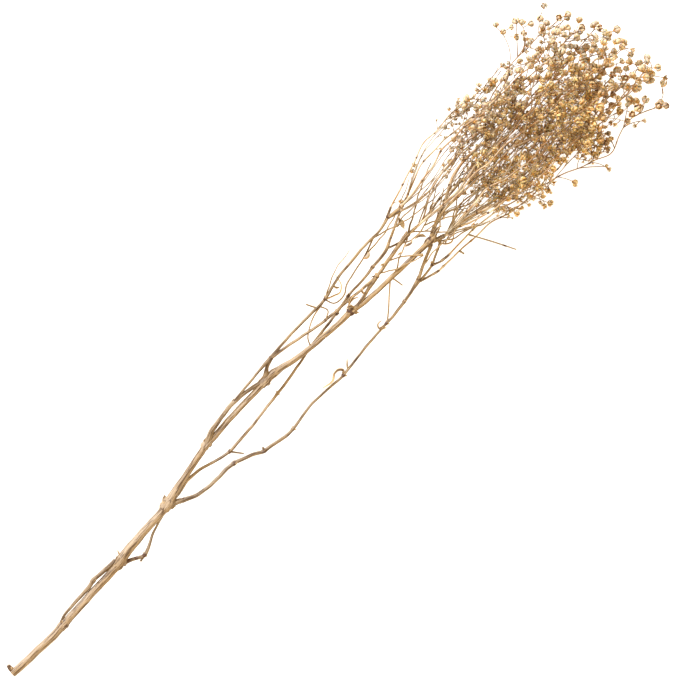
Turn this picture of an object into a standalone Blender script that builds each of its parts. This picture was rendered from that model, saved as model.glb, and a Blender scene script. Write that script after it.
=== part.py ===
"""Gypsophila stem, cut and dried, lying on its side.

One woody stem with swollen joints forks into side branches. Past the last joint the
branches fan out into sprays of fine twigs, and every twig ends in a small crumpled bloom.

+X runs along the stem towards the blooms, +Y across it, +Z up. Routes are written in
millimetres as along, across and lift: distance from the cut end, distance to the left of
it, and height above the stem's rising axis.
"""

import math
import random

import bmesh
import bpy
import numpy as np

# Driving dimensions, in millimetres
STEM_RADIUS = 3.1
RISE = 0.0600
ORIGIN_ALONG = 349.77
ORIGIN_ACROSS = 28.22
SEAT_GAP = 0.3
NODE_CLEARANCE = 0.45
TWIG_RADIUS = 0.58
PEDICEL_RADIUS = 0.43
BLOOM_RADIUS = (2.3, 3.1)
SMALL_BLOOM_RADIUS = (1.6, 2.2)
PETAL_REACH = 1.12
BLOOM_SPACING = 5.4
BLOOM_COUNT = 292
GROUP_REACH = 13.0
GROUP_SIZE = 5
BENT_LENGTH = 13.0
CROWDING = 0.35
WANDER = 1.1
FLAT_ANGLES = (2.5, 3.0, 2.0, 1.5, 1.0, 0.5)
MM = 0.001
SEED = 4

# Woody stem from the cut end to the last joint: along, across, lift, radius
MAIN_STEM = [
    (-2, -3.5, 0, 3.0), (10, -4, 0, 3.1), (30, -4.3, 0, 3.15), (46, -4.3, 0, 3.3),
    (54, -3.8, 0, 3.9), (62, -3.2, 0, 3.2), (80, -2, 0, 3.1), (100, -0.8, 0, 3.1),
    (113, 0, 0, 3.3), (121, 0.7, 0, 4.9), (128, 2.4, 0, 4.0), (140, 4, 0, 3.6),
    (160, 5.6, 0, 3.3), (174, 6.6, 0, 3.4), (180, 7.6, 0, 5.2), (187, 9.3, 0, 3.6),
    (200, 12.6, 0, 2.8), (215, 15.8, 0, 2.6), (228, 18.6, 0, 2.8), (236, 20.4, 0, 4.0),
    (243, 20.4, 0, 2.4), (255, 21.4, 0, 2.1), (275, 22.8, 0, 2.0), (292, 23.3, 0, 2.1),
    (303, 24, 0, 4.3), (313, 24, 0, 3.6), (320, 22.8, 0, 2.6), (330, 20.6, 0, 1.9),
    (345, 18.6, 0, 1.8), (360, 17.5, 0, 1.8), (378, 16.5, 0, 1.7), (386, 16.4, 0, 2.2),
    (392, 16.4, 0, 3.3), (400, 15, 0, 1.7), (415, 14, 0, 1.5), (440, 13.5, 0, 1.5),
    (465, 13.2, 0, 1.6), (474, 13.2, 0, 3.1), (480, 13.2, 0, 2.4),
]

# Side branches fused to the stem: name, points as along, across, lift, radius
BRANCHES = [
    ("cut_stub", [(0, -3, 0, 2.0), (0, 1, 0.5, 2.0), (0.3, 4, 0.8, 1.2)]),
    ("close_sprig", [(50, -2.4, 0.5, 0.8), (60, 1.1, 1.2, 0.9), (75, 2.7, 1.4, 1.1), (90, 3.9, 1.6, 1.3),
                     (96, 5, 1.8, 1.9), (101, 4.9, 1.6, 1.3), (120, 4.4, 1.2, 1.5)]),
    ("low_twig", [(119, -0.5, -0.5, 1.6), (128, -3.4, -1, 1.2), (134, -6.5, -1.5, 1.1),
                  (139, -8.6, -1.8, 1.4), (144, -7.2, -1.8, 1.1), (150, -4.2, -1.5, 0.9),
                  (157, -0.6, -1.2, 0.8), (164, 1.8, -1, 0.7), (176, 5, -0.5, 0.7)]),
    ("low_spur", [(140, -8.8, -1.8, 0.7), (133.5, -9.9, -2, 0.6)]),
    ("joint_spike", [(125, 4, 1.5, 0.8), (126.8, 9.6, 2.5, 0.5)]),
    ("joint_knob", [(178, 8.5, 1, 2.6), (181, 12.2, 2, 1.7)]),
    ("right_branch", [(181, 6, -1, 2.4), (188, 3.6, -1.5, 1.9), (192, 1.2, -2, 1.6), (197, -1.2, -2.5, 1.4),
                      (203, -3.2, -3, 1.3), (212, -4.7, -4, 1.2), (225, -5, -5, 1.2), (237, -5, -5.5, 1.2),
                      (241, -5.4, -6, 1.8), (248, -7.8, -6.5, 1.1), (256, -10.8, -7, 1.1),
                      (265, -15.2, -8, 1.7), (273, -16.4, -8.5, 1.1), (287, -18.6, -9, 1.1),
                      (293.5, -18.7, -9, 1.4), (300, -17.5, -9.5, 0.9), (315, -14.8, -10, 0.8),
                      (335, -14.9, -10, 0.8), (352, -15.5, -10, 1.5), (360, -14.6, -10, 0.8),
                      (378, -12, -9.5, 0.8), (398, -10.2, -8.5, 0.8), (405, -9.8, -8, 1.3),
                      (420, -8.2, -7, 0.9), (427, -7.2, -6.5, 1.4), (440, -4.2, -5.5, 1.1),
                      (447, -2, -4.5, 1.4), (458, 3.4, -2.5, 1.0), (466, 7, -1.2, 1.0),
                      (474, 10.8, 0, 1.2)]),
    ("right_spur", [(265, -15, -8, 0.8), (266.3, -12.2, -7, 0.6)]),
    ("right_fork", [(437, -5, -6, 0.9), (450, -3.6, -6, 0.8), (463, -1.4, -5.5, 1.3),
                    (470, 2, -4, 0.7), (478, 6, -2, 0.8), (483, 9, -1, 0.8)]),
    ("right_leaf", [(352, -15.5, -10, 0.7), (354.5, -12.5, -8.5, 0.8), (352.5, -10, -7.5, 0.8),
                    (348, -9.6, -7.5, 0.6), (343, -12.8, -8.5, 0.6), (333, -11.6, -8, 0.5)]),
    ("right_spike", [(357.5, -14.6, -10, 0.6), (360, -11.5, -8, 0.6), (363.3, -8, -6.5, 0.5)]),
    ("right_curl", [(405, -9.8, -8, 0.6), (398, -8, -7, 0.5), (399.5, -5.6, -6, 0.5), (404, -5.3, -5.5, 0.5)]),
    ("right_hook", [(398.5, -10, -8.5, 0.6), (403, -12.2, -8, 0.5)]),
    ("cross_twig", [(406, -9.6, -8, 0.5), (412, -4.5, -6.5, 0.5), (420, 3, -4, 0.5), (431, 13, -0.5, 0.5)]),
    ("hanging_spur", [(433, 13.2, 0, 0.5), (434, 9, -1, 0.5), (435, 3, -2, 0.45)]),
    ("lower_strand", [(183, 7.5, -2.5, 1.3), (192, 7.5, -4, 1.0), (205, 10.5, -4.5, 1.1),
                      (216, 9.9, -5, 1.0), (232, 6, -5.5, 0.9), (245, 3.6, -6, 1.6), (252, 4, -6, 1.0),
                      (272, 5.8, -6.5, 0.9), (292, 8.6, -6.5, 0.9), (304, 10.2, -6.5, 1.2),
                      (322, 13, -6.5, 0.9), (338, 16.3, -6, 0.8), (352, 19.2, -5, 0.8),
                      (370, 21.8, -4, 0.9), (382, 23.8, -3.5, 1.8), (390, 25, -3, 0.9),
                      (398, 27, -2.5, 1.5), (415, 28, -2, 0.8), (428, 29.8, -1.5, 1.5),
                      (446, 32.7, -0.5, 1.1), (454, 36.5, 1, 0.9), (463, 41, 2.5, 0.8),
                      (472, 45.4, 4, 0.8), (479, 48.4, 5, 0.8)]),
    ("strand_spur", [(245, 3.5, -6, 0.7), (252, -5.4, -6, 0.45)]),
    ("strand_link", [(446, 32.7, -0.5, 0.7), (451, 31, 0.5, 0.7), (458, 28.6, 1.8, 0.7)]),
    ("left_branch", [(235, 20.5, 0.5, 2.6), (245, 24.4, 2, 1.7), (258, 27.4, 3, 1.4), (273, 29.3, 3.5, 1.4),
                     (288, 28.2, 2.5, 1.2), (303, 25.5, 0.8, 1.4)]),
    ("left_bract", [(272, 29.2, 3.5, 1.1), (277, 31.4, 4.2, 0.8)]),
    ("left_strand", [(271, 29.2, 3.5, 0.9), (285, 30.8, 4.5, 0.8), (305, 33.1, 5, 0.8), (320, 34.3, 5, 1.3)]),
    ("joint_twig", [(304, 25, 0.5, 2.0), (309.5, 28.6, 2, 1.5), (313, 31, 3.5, 1.1), (321, 34.4, 5, 1.5)]),
    ("upper_twig", [(320, 34.3, 5, 1.2), (328, 35.2, 5.5, 1.0), (350, 36.9, 7.5, 0.9), (372, 37.2, 9, 0.9),
                    (384, 38, 10, 1.3), (394, 40.7, 10.5, 0.9), (402, 42.7, 11, 0.9), (420, 44.9, 12, 0.9),
                    (440, 46.6, 13, 0.8), (452, 46.8, 13.5, 0.8), (464, 50, 14, 1.1)]),
    ("upper_spike", [(374, 37, 9, 0.6), (369.5, 45.5, 11, 0.5)]),
    ("upper_hook", [(383, 37.5, 10, 0.8), (391, 34.6, 9.5, 0.7), (395, 33.3, 9.3, 0.6),
                    (399.5, 36, 9.8, 0.5), (402.5, 47, 12.5, 0.45)]),
    ("pale_strand", [(349, 18.6, 0.5, 0.5), (352, 25, 3, 0.45), (358, 29.6, 5, 0.45), (368, 34.4, 7.5, 0.45),
                     (380, 36.8, 9.6, 0.5)]),
    ("middle_twig", [(320, 34.3, 5, 1.2), (333, 32.2, 4.8, 0.9), (350, 29.3, 4.2, 0.9), (372, 25.6, 3.6, 1.3),
                     (392, 24.6, 3, 0.9), (410, 23.2, 2.6, 0.9), (425, 22.6, 2.3, 1.8), (440, 25, 2.2, 1.2),
                     (455, 28, 2, 1.3), (467, 29.6, 2, 1.9)]),
    ("link_twig", [(376, 37, 9.2, 0.5), (378.7, 30, 6.5, 0.45), (373, 26, 3.8, 0.5)]),
    ("dark_twig", [(383, 37.5, 10, 0.5), (386, 30.6, 7, 0.45), (398, 30.4, 5.5, 0.5), (402, 33.4, 6, 0.5),
                   (412, 36.5, 7.5, 0.5), (428, 40.2, 9.5, 0.5), (445, 46.4, 13, 0.6)]),
    ("dry_bud", [(427, 40.2, 9.5, 1.5), (431.5, 38.8, 9, 1.9), (434, 41.6, 10, 1.2)]),
    ("joint_branch", [(391, 16.6, 0.5, 2.0), (400, 16.6, 1, 1.2), (412, 19.4, 1.8, 1.1), (425, 22.4, 2.3, 1.5)]),
    ("tangle_leaf", [(391, 17, 1.5, 0.6), (393, 21, 3.5, 0.5), (399, 22.4, 4, 0.5), (404, 20.5, 3, 0.5)]),
    ("crossing_twig", [(440, 24.8, 2.2, 0.5), (450, 20, 2.4, 0.45), (457, 14.6, 2.4, 0.5), (463.5, 9.2, 2.4, 0.9)]),
    ("brown_bud", [(466.5, 29.6, 2, 0.8), (467, 35, 3.5, 1.2), (467.3, 39.5, 4.5, 2.3), (470, 41.5, 5, 1.0)]),
    ("loose_hook", [(479, 8.6, -1, 0.7), (482, 3.2, -2.5, 0.6), (486, 1, -3, 0.6), (493.5, 4.6, -2, 0.45)]),
    ("right_outer", [(444, -3.2, -5.6, 0.8), (455, -6.4, -7, 0.7), (459, -7.4, -7.4, 0.7)]),
    ("right_return", [(462, -1.2, -5.5, 0.9), (468, -3.6, -5.4, 0.7), (471, -4.6, -5.2, 0.7)]),
]

# Sprays: name, radius at the root, and a route of along, across, lift.
# The first stretch of each route is a stub of the woody stem, and the spray grows on from there.
SPRAYS = [
    ("spray_crown", 1.35, [(476, 14, 0), (485, 18.5, 2), (492, 22, 4), (500, 25.5, 6), (513, 32, 7.5),
                           (526, 38, 8.5), (537, 40.3, 10), (552, 40.4, 11.5), (575, 38, 15), (600, 36, 18),
                           (625, 37, 21.5), (648, 39, 23)]),
    ("spray_middle_upper", 1.0, [(476, 13.5, 0), (486, 14.5, 4), (499, 18, 9), (515, 21, 12.5), (530, 23, 15),
                                 (550, 21, 19), (575, 21, 23), (600, 23, 27), (630, 25, 29.5), (658, 24, 28)]),
    ("spray_middle_lower", 1.0, [(476, 12.5, 0), (487, 11.5, -3), (498, 15, -7), (510, 17.3, -9.5),
                                 (530, 16, -12.5), (550, 13, -15.5), (580, 12, -19.5), (610, 12, -23),
                                 (640, 13, -24.5), (668, 14, -21.5)]),
    ("spray_brown_lower", 1.25, [(476, 11.5, 0), (486, 8.3, 1), (497, 7.3, 2), (508, 5.5, 4), (520, 2.5, 5.5),
                                 (535, -3, 6.5), (550, -5, 8), (575, -4, 11.5), (600, -5, 14), (625, -8, 15),
                                 (642, -9, 13)]),
    ("spray_middle_high", 0.9, [(476, 13, 1), (485, 11.5, 6), (500, 9.5, 14), (515, 10, 19), (530, 11, 22),
                                (550, 8, 27), (575, 5, 31), (600, 4, 33), (630, 3, 33), (655, 2, 30.5)]),
    ("spray_under", 0.9, [(476, 12.5, -1), (484, 14.5, -6), (498, 14, -13), (515, 13, -18), (535, 12, -21.5),
                          (560, 16, -25.5), (590, 20, -29.5), (620, 22, -31), (652, 20, -28)]),
    ("spray_left_under", 0.9, [(467, 29.5, 2), (475, 30.5, -1), (490, 31, -5), (508, 32, -8.5), (530, 29, -10.5),
                               (545, 27, -13), (560, 30, -16.5), (590, 32, -21.5), (620, 34, -24.5), (650, 33, -23),
                               (670, 30, -18)]),
    ("spray_fan", 0.9, [(467, 29, 2), (475, 28.7, 6), (490, 27.8, 10), (505, 27, 14.5), (525, 28, 18),
                        (550, 30, 22), (580, 31, 27), (610, 33, 31), (642, 33, 30.5)]),
    ("spray_left_low", 0.8, [(466, 30.5, 2), (476, 33.5, 2), (487, 36, 0), (502, 39.5, -3), (518, 42, -5.5),
                             (535, 45, -7.5), (555, 46, -10.5), (580, 47, -14), (610, 48, -16.5), (640, 49, -16.5),
                             (666, 49, -11.5)]),
    ("spray_left_middle", 0.9, [(463, 49.5, 14), (474, 46.5, 12), (483, 43.5, 10), (500, 42.3, 8),
                                (520, 44.5, 4.5), (533, 46.5, 3.5), (548, 49, 2.5), (562, 49, 2.5), (587, 50, 4),
                                (612, 52, 6.5), (640, 52, 7.5), (670, 53, 5.5)]),
    ("spray_left_high", 0.9, [(463, 50, 14.5), (475, 48.5, 17), (495, 50.5, 19), (518, 54.5, 19.5),
                              (530, 58, 19.5), (548, 59, 21.5), (565, 59, 23), (580, 57, 24.5), (600, 56, 27),
                              (630, 57, 25.5), (655, 59, 20.5)]),
    ("spray_outer_left", 0.9, [(478, 48, 5), (485, 50.8, 5), (500, 57, 5), (513, 61.5, 4.5), (530, 62.3, 4),
                               (545, 62, 3.5), (572, 61.5, 1.5), (600, 62.5, 0), (616, 68, -1), (632, 70.5, -1.5),
                               (650, 69, -1.5), (672, 67, -2.5)]),
    ("spray_outer_thin", 0.8, [(463, 50.2, 14), (471, 54, 14.5), (483, 58, 15), (490, 60.5, 15),
                               (506, 66, 14.5), (528, 72, 11.5), (545, 73.5, 10.5), (560, 73, 10),
                               (576, 72, 9), (592, 70, 9)]),
    ("spray_lower_edge", 0.9, [(470, -4.2, -5.3), (478, -5, -5.3), (490, -4.2, -6), (510, -4.6, -7.5),
                               (530, -7, -8), (548, -11, -10), (560, -14.5, -10.5), (576, -18, -10.5),
                               (592, -24.5, -10), (612, -31, -9), (624, -34.5, -8), (640, -31.5, -7.5),
                               (655, -27.5, -6.5), (668, -31, -5.5), (677, -35, -5)]),
    ("spray_lower_thin", 0.8, [(458, -7.2, -7.3), (464, -8.5, -8), (487, -8.5, -11), (510, -10, -13),
                               (530, -12, -15), (545, -14.5, -17), (560, -16, -19.5), (580, -16, -23),
                               (605, -14, -26), (635, -13, -27), (658, -12, -23), (682, -12, -16.5)]),
    ("spray_lower_high", 0.9, [(477, 10.5, 0), (486, 5.5, 5), (500, 2.5, 11), (515, -0.5, 14.5), (535, -5, 18),
                               (555, -8, 21.5), (580, -10, 25.5), (610, -10, 28), (640, -10, 26), (668, -9, 21.5),
                               (688, -8, 15.5)]),
    ("spray_top", 0.9, [(476, 14, 2), (484, 16.5, 9), (497, 20, 18), (512, 23, 24), (530, 26, 27),
                        (555, 26, 33), (585, 24, 33), (615, 22, 33), (645, 20, 33), (672, 18, 30.5)]),
    ("spray_bottom", 0.9, [(476, 12, -1.5), (483, 10.5, -8), (495, 8, -15), (510, 5, -20.5), (530, 2, -23),
                           (555, 0, -28), (585, 0, -32), (615, 3, -33), (645, 4, -32), (672, 6, -24.5)]),
    ("spray_far", 1.0, [(478, 13.2, 0), (488, 13.4, 0.5), (505, 13.2, 1), (530, 12, 1), (560, 13, 1.5),
                        (600, 14, 2.5), (640, 15, 3.5), (670, 16, 3.5), (690, 17, 2.5)]),
    ("spray_right_far", 0.9, [(476, 11, -1), (486, 7.4, -5), (500, 6, -8), (515, 3.5, -8), (540, 1, -7.5),
                              (570, -2, -6.5), (600, -3, -5.5), (640, -4, -5.5), (675, -3, -5.5), (694, -3, -5.5)]),
    ("spray_left_far", 0.9, [(476, 15, -0.5), (486, 20, -2.5), (505, 26.5, -3), (525, 31, -1.5), (550, 35, 0),
                             (580, 37, 1.5), (610, 39, 1), (640, 41, -1), (670, 42, -2.5), (684, 43, -3.5)]),
]

# Twigs without a bloom: the spray that carries them, and points as along, across, lift, radius
BARE_TWIGS = [
    ("spray_lower_edge", [(500.5, -4.4, -6.7, 0.62), (505.5, -13, -7.4, 0.58), (510, -21, -8, 0.6),
                          (519.5, -39, -9, 0.52)]),
    ("spray_lower_thin", [(486.5, -8.5, -10.9, 0.7), (487.5, -12.8, -11.4, 0.8)]),
]

# Single blooms at the edge of the head: along, across, and whether it is a small one
EDGE_BLOOMS = [
    (631, 101, 0), (631, 92, 0), (638, 90, 0), (643.5, 91, 0), (647, 87, 0), (651, 81.5, 0), (636, 82, 0),
    (641, 79.5, 0), (659, 79, 0), (660.5, 73, 0), (668, 84, 0), (641, 72, 0), (653, 70, 0), (670, 69, 0),
    (675, 65, 0), (681, 57, 0), (677, 51, 0), (685.5, 46, 0), (687, 41.5, 0), (687.5, 36, 0), (683, 32, 0),
    (691.5, 23.5, 0), (694, 18.5, 0), (687, 18.5, 0), (694, 10.5, 0), (682, 10, 0), (680.5, 3.5, 0),
    (691, -0.5, 0), (685, -2, 0), (699, -2, 0), (675, -1.5, 0), (656.5, 2.5, 0), (659, -4, 0), (665, 4, 0),
    (690.5, -9.5, 0), (699, -14, 0), (692.5, -25.5, 0), (697, -23, 0), (678, -35.5, 0), (682, -39, 0),
    (668, -26, 0), (674, -24.5, 0), (652, -27, 0), (658.5, -25.5, 0), (654.5, -33.5, 1), (662.5, -36, 1),
    (615.5, -41, 1), (616, -45, 1), (618, -29, 0), (589, -33, 0), (564, -31, 0), (559, -29.5, 1),
    (559, -25.5, 1), (563.5, -23.5, 0), (569.5, -23.5, 1), (551, -20.5, 1), (539, -19, 0), (567, -17.5, 0),
    (573, -16, 0), (577, -19, 0), (575, -7.5, 0), (580, -10.5, 0), (591.5, -13, 0), (652, -9, 0),
    (635, -23.5, 0), (627, -21, 0), (612, 73, 0), (617, 71.5, 1), (596, 68, 0), (590, 68, 0), (588, 75, 1),
    (584, 73.5, 1), (575, 75, 1), (570, 72.5, 1), (564, 74.5, 1), (558, 77.5, 1), (561, 72, 1), (545.5, 70, 1),
    (556, 69, 1), (551, 67, 1), (503, 63, 1), (507, 65, 1), (548, 55, 0), (530, 46.5, 0), (537, 53, 1),
    (525, 8.5, 1), (508, -1.5, 1), (480, 51.5, 1), (520, 31, 1), (665, 37, 0), (670, 38, 0),
]

# Two low blooms that the head rests on: along, across
FOOT_BLOOMS = [(604, -12), (622, 50)]

# Outline of the dense head at several distances from the cut end
HEAD_ALONG = (515, 540, 560, 580, 600, 620, 640, 660, 680, 692)
HEAD_RIGHT = (-8, -19, -25, -19, -22, -31, -24, -26, -23, -13)
HEAD_LEFT = (54, 67, 76, 72, 70, 74, 82, 69, 48, 34)
HEAD_DEPTH = (10, 22, 30, 35, 38, 39, 37, 33, 22, 12)

# Where blooms stand closest: along from, to, across from, to, share of places filled
CROWDED = [
    (598, 655, -24, 36, 1.0),
    (530, 600, -18, 18, 0.9),
    (655, 690, -24, 30, 0.7),
    (540, 640, 50, 80, 0.7),
    (640, 665, 50, 80, 1.0),
]
OPEN_SHARE = 0.36

# Surface colours, as they look
STEM_COLOUR = (0.72, 0.57, 0.40)
SPRAY_COLOURS = [(0.70, 0.54, 0.36), (0.74, 0.58, 0.40), (0.66, 0.49, 0.31)]


def axis_height(along):
    """Height of the stem's axis above the surface: it rises evenly from the cut end."""
    return STEM_RADIUS + RISE * along


def place(point):
    """Turn along, across and lift into a position above the surface, still in millimetres."""
    return np.array((point[0], point[1], axis_height(point[0]) + point[2]), dtype=float)


def unit(vector):
    """A vector of the same direction and length one."""
    return vector / max(float(np.linalg.norm(vector)), 1e-9)


class Clearance:
    """Round-ended rods already placed, each known by its node, and the gaps between them."""

    def __init__(self):
        self.starts = []
        self.ends = []
        self.radii = []
        self.nodes = []

    def add(self, node, start, end, radius):
        """Keep one rod."""
        self.starts.append(start)
        self.ends.append(end)
        self.radii.append(radius)
        self.nodes.append(node)

    def free(self, node, start, end, radius):
        """True where a new rod keeps clear of every rod of another node."""
        others = np.array(self.nodes) != node
        if not others.any():
            return True
        first = np.array(self.starts)[others]
        span = np.array(self.ends)[others] - first
        radii = np.array(self.radii)[others]
        gaps = rod_distance(start, end - start, first, span) - radii - radius
        return bool(gaps.min() > NODE_CLEARANCE)


def rod_distance(start, span, starts, spans):
    """Shortest distance from one straight line to each of many, all with two ends."""
    offset = start - starts
    a = float(span @ span) + 1e-12
    e = (spans * spans).sum(axis=1) + 1e-12
    b = spans @ span
    c = offset @ span
    f = (spans * offset).sum(axis=1)
    denominator = a * e - b * b
    s = np.where(denominator > 1e-9, (b * f - c * e) / np.where(denominator > 1e-9, denominator, 1), 0)
    s = np.clip(s, 0, 1)
    t = np.clip((b * s + f) / e, 0, 1)
    s = np.clip((b * t - c) / a, 0, 1)
    between = offset + s[:, None] * span - t[:, None] * spans
    return np.sqrt((between * between).sum(axis=1))


def head_reach(along):
    """Right edge, left edge and half depth of the dense head at one distance along the stem."""
    right = float(np.interp(along, HEAD_ALONG, HEAD_RIGHT))
    left = float(np.interp(along, HEAD_ALONG, HEAD_LEFT))
    depth = float(np.interp(along, HEAD_ALONG, HEAD_DEPTH))
    return right, left, depth


def filled_share(along, across):
    """Share of possible places that carry a bloom here, seen from above."""
    for low, high, right, left, share in CROWDED:
        if low <= along <= high and right <= across <= left:
            return share
    return OPEN_SHARE


def bloom_places(rng):
    """Centres and radii of all blooms: the edge ones, the feet, and the ones that fill the head."""
    places = []
    for along, across in FOOT_BLOOMS:
        radius = BLOOM_RADIUS[1]
        places.append((np.array((along, across, 0.5 * radius)), radius))
    for along, across, small in EDGE_BLOOMS:
        radius = rng.uniform(*(SMALL_BLOOM_RADIUS if small else BLOOM_RADIUS))
        places.append((place((along, across, rng.uniform(-9, 13))), radius))
    target = len(places) + BLOOM_COUNT
    while len(places) < target:
        along = rng.uniform(HEAD_ALONG[0], HEAD_ALONG[-1])
        right, left, depth = head_reach(along)
        across = rng.uniform(right, left)
        lift = rng.uniform(-depth, depth)
        middle = (right + left) / 2
        half = (left - right) / 2
        if abs((across - middle) / half) ** 3 + abs(lift / depth) ** 3 > 1:
            continue
        if rng.random() > filled_share(along, across):
            continue
        small = across > 58 or across < -17 or along < 540
        radius = rng.uniform(*(SMALL_BLOOM_RADIUS if small else BLOOM_RADIUS))
        centre = place((along, across, lift))
        if centre[2] < radius + 1.2:
            continue
        if min(float(np.linalg.norm(centre - other)) for other, _ in places) > BLOOM_SPACING:
            places.append((centre, radius))
    return places


def spray_path(name, route):
    """A spray's route with the small wandering of a dry twig, past its fourth point."""
    rng = random.Random(name)
    points = []
    for index, point in enumerate(route):
        drift = WANDER * min(1, max(0, index - 3) / 2)
        offset = np.array((0, rng.uniform(-drift, drift), rng.uniform(-drift, drift)))
        points.append(place(point) + offset)
    return points


def route_samples(points):
    """Points every few millimetres along a spray's route, and the direction there."""
    samples = []
    for start, end in zip(points[1:-1], points[2:]):
        steps = max(2, int(np.linalg.norm(end - start) / 4))
        for step in range(steps):
            samples.append((start + (end - start) * (step + 0.5) / steps, unit(end - start)))
    return samples


def best_root(samples, target):
    """The place on a route from which a twig reaches the target at an easy angle, and its cost."""
    starts = np.array([sample[0] for sample in samples])
    directions = np.array([sample[1] for sample in samples])
    reach = target - starts
    length = np.sqrt((reach * reach).sum(axis=1)) + 1e-9
    turn = np.arccos(np.clip((reach * directions).sum(axis=1) / length, -1, 1))
    cost = length * (1 + 2.5 * np.maximum(0, turn - 0.85))
    best = int(cost.argmin())
    return best, float(cost[best])


def share_out(places, samples):
    """Give each bloom to the spray that reaches it most easily, and spares one that has many already."""
    shared = {name: [] for name in samples}
    for centre, radius in places:
        costs = {}
        for name in samples:
            costs[name] = best_root(samples[name], centre)[1] + CROWDING * len(shared[name])
        shared[min(costs, key=costs.get)].append((centre, radius))
    return shared


def groups_of(blooms):
    """Gather blooms that stand close together, a few to a group, for one twig each."""
    waiting = sorted(blooms, key=lambda bloom: bloom[0][0])
    groups = []
    while waiting:
        first = waiting.pop(0)
        waiting.sort(key=lambda bloom: float(np.linalg.norm(bloom[0] - first[0])))
        group = [first]
        while waiting and len(group) < GROUP_SIZE:
            if np.linalg.norm(waiting[0][0] - first[0]) > GROUP_REACH:
                break
            group.append(waiting.pop(0))
        waiting.sort(key=lambda bloom: bloom[0][0])
        groups.append(group)
    return groups


def bloom_stalk(start, centre, radius, rng):
    """Where a stalk from start reaches its bloom, and which way the bloom faces."""
    facing = unit(unit(centre - start) + np.array([rng.uniform(-0.35, 0.35) for _ in range(3)]))
    return centre - facing * radius * 0.8, facing


def grow_group(node, group, samples, rods, rng):
    """Grow one twig to the furthest bloom of a group, and a stalk from it to each of the others."""
    root, forward = samples[best_root(samples, group[0][0])[0]]
    group = sorted(group, key=lambda bloom: -float(np.linalg.norm(bloom[0] - root)))
    shoots = []
    for index, (centre, radius) in enumerate(group):
        for _ in range(10):
            if shoots:
                along = 0.88 - 0.17 * index + rng.uniform(-0.03, 0.03)
                path = shoots[0][0]
                start = path[-2] + (path[-1] - path[-2]) * along
            else:
                start = root
            neck, facing = bloom_stalk(start, centre, radius, rng)
            length = float(np.linalg.norm(neck - start))
            jitter = np.array([rng.uniform(-1, 1) for _ in range(3)]) * 0.04 * length
            bend = start + (neck - start) * 0.4 + forward * 0.08 * length + jitter
            path = [start, neck] if shoots or length < BENT_LENGTH else [start, bend, neck]
            clear = rods.free(node, centre, centre, radius * PETAL_REACH) and length > 2
            for low, high in zip(path[:-1], path[1:]):
                clear = clear and rods.free(node, low, high, PEDICEL_RADIUS)
            if clear:
                for low, high in zip(path[:-1], path[1:]):
                    rods.add(node, low, high, PEDICEL_RADIUS)
                rods.add(node, centre, centre, radius * PETAL_REACH)
                shoots.append((path, centre, facing, radius, rng.random()))
                break
    return shoots


def tip_bloom(name, route, rods, rng):
    """The bloom that ends a spray's own twig, turned until it is clear of the others."""
    before, tip = spray_path(name, route)[-2:]
    forward = unit(tip - before)
    radius = rng.uniform(*BLOOM_RADIUS)
    while True:
        facing = unit(forward + np.array([rng.uniform(-0.6, 0.6) for _ in range(3)]))
        centre = tip + facing * (2.5 + radius)
        if rods.free(name, tip, centre, radius * PETAL_REACH):
            rods.add(name, centre, centre, radius * PETAL_REACH)
            return [tip - forward, centre - facing * radius * 0.8], centre, facing, radius, rng.random()


def grow_sprays():
    """The shoots of every spray, by its name: path, bloom centre, facing, radius and openness."""
    rng = random.Random(SEED)
    rods = Clearance()
    for chain in [MAIN_STEM] + [points for _, points in BRANCHES]:
        for start, end in zip(chain[:-1], chain[1:]):
            rods.add("main_stem", place(start), place(end), max(start[3], end[3]))
    samples = {}
    for name, root_radius, route in SPRAYS:
        points = spray_path(name, route)
        samples[name] = route_samples(points)
        rods.add("main_stem", points[0], points[1], root_radius)
        for start, end in zip(points[1:-1], points[2:]):
            rods.add(name, start, end, root_radius)
    for name, chain in BARE_TWIGS:
        for start, end in zip(chain[:-1], chain[1:]):
            rods.add(name, place(start), place(end), start[3])
    shared = share_out(bloom_places(rng), samples)
    grown = {name: [tip_bloom(name, route, rods, rng)] for name, _, route in SPRAYS}
    for name in grown:
        for group in groups_of(shared[name]):
            grown[name] += grow_group(name, group, samples[name], rods, rng)
    return grown


def ring(centre, across, up, radius, sides, phase=0.0):
    """Corner points of a regular polygon."""
    points = []
    for corner in range(sides):
        angle = phase + 2 * math.pi * corner / sides
        points.append(centre + across * (radius * math.cos(angle)) + up * (radius * math.sin(angle)))
    return points


def side_directions(forward, previous=None):
    """Two directions square to a path, carried on from the last ones so that a tube doesn't twist."""
    guide = previous if previous is not None else np.array((0.0, 0.0, 1.0))
    if abs(float(guide @ forward)) > 0.95:
        guide = np.array((0.0, 1.0, 0.0))
    across = unit(guide - forward * float(guide @ forward))
    return across, np.cross(forward, across)


def mesh_object(name, vertices, faces):
    """An object from points in millimetres, moved so that the box's bottom centre is the origin."""
    shift = np.array((ORIGIN_ALONG, ORIGIN_ACROSS, 0.0))
    mesh = bpy.data.meshes.new(name)
    mesh.from_pydata([tuple((point - shift) * MM) for point in vertices], [], faces)
    shape = bmesh.new()
    shape.from_mesh(mesh)
    bmesh.ops.recalc_face_normals(shape, faces=shape.faces)
    shape.to_mesh(mesh)
    shape.free()
    return bpy.data.objects.new(name, mesh)


def bridge(lower, upper):
    """Triangles between two rings of the same number of corners, given by their indices."""
    count = len(lower)
    faces = []
    for corner in range(count):
        after = (corner + 1) % count
        faces.append((lower[corner], lower[after], upper[after]))
        faces.append((lower[corner], upper[after], upper[corner]))
    return faces


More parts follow.
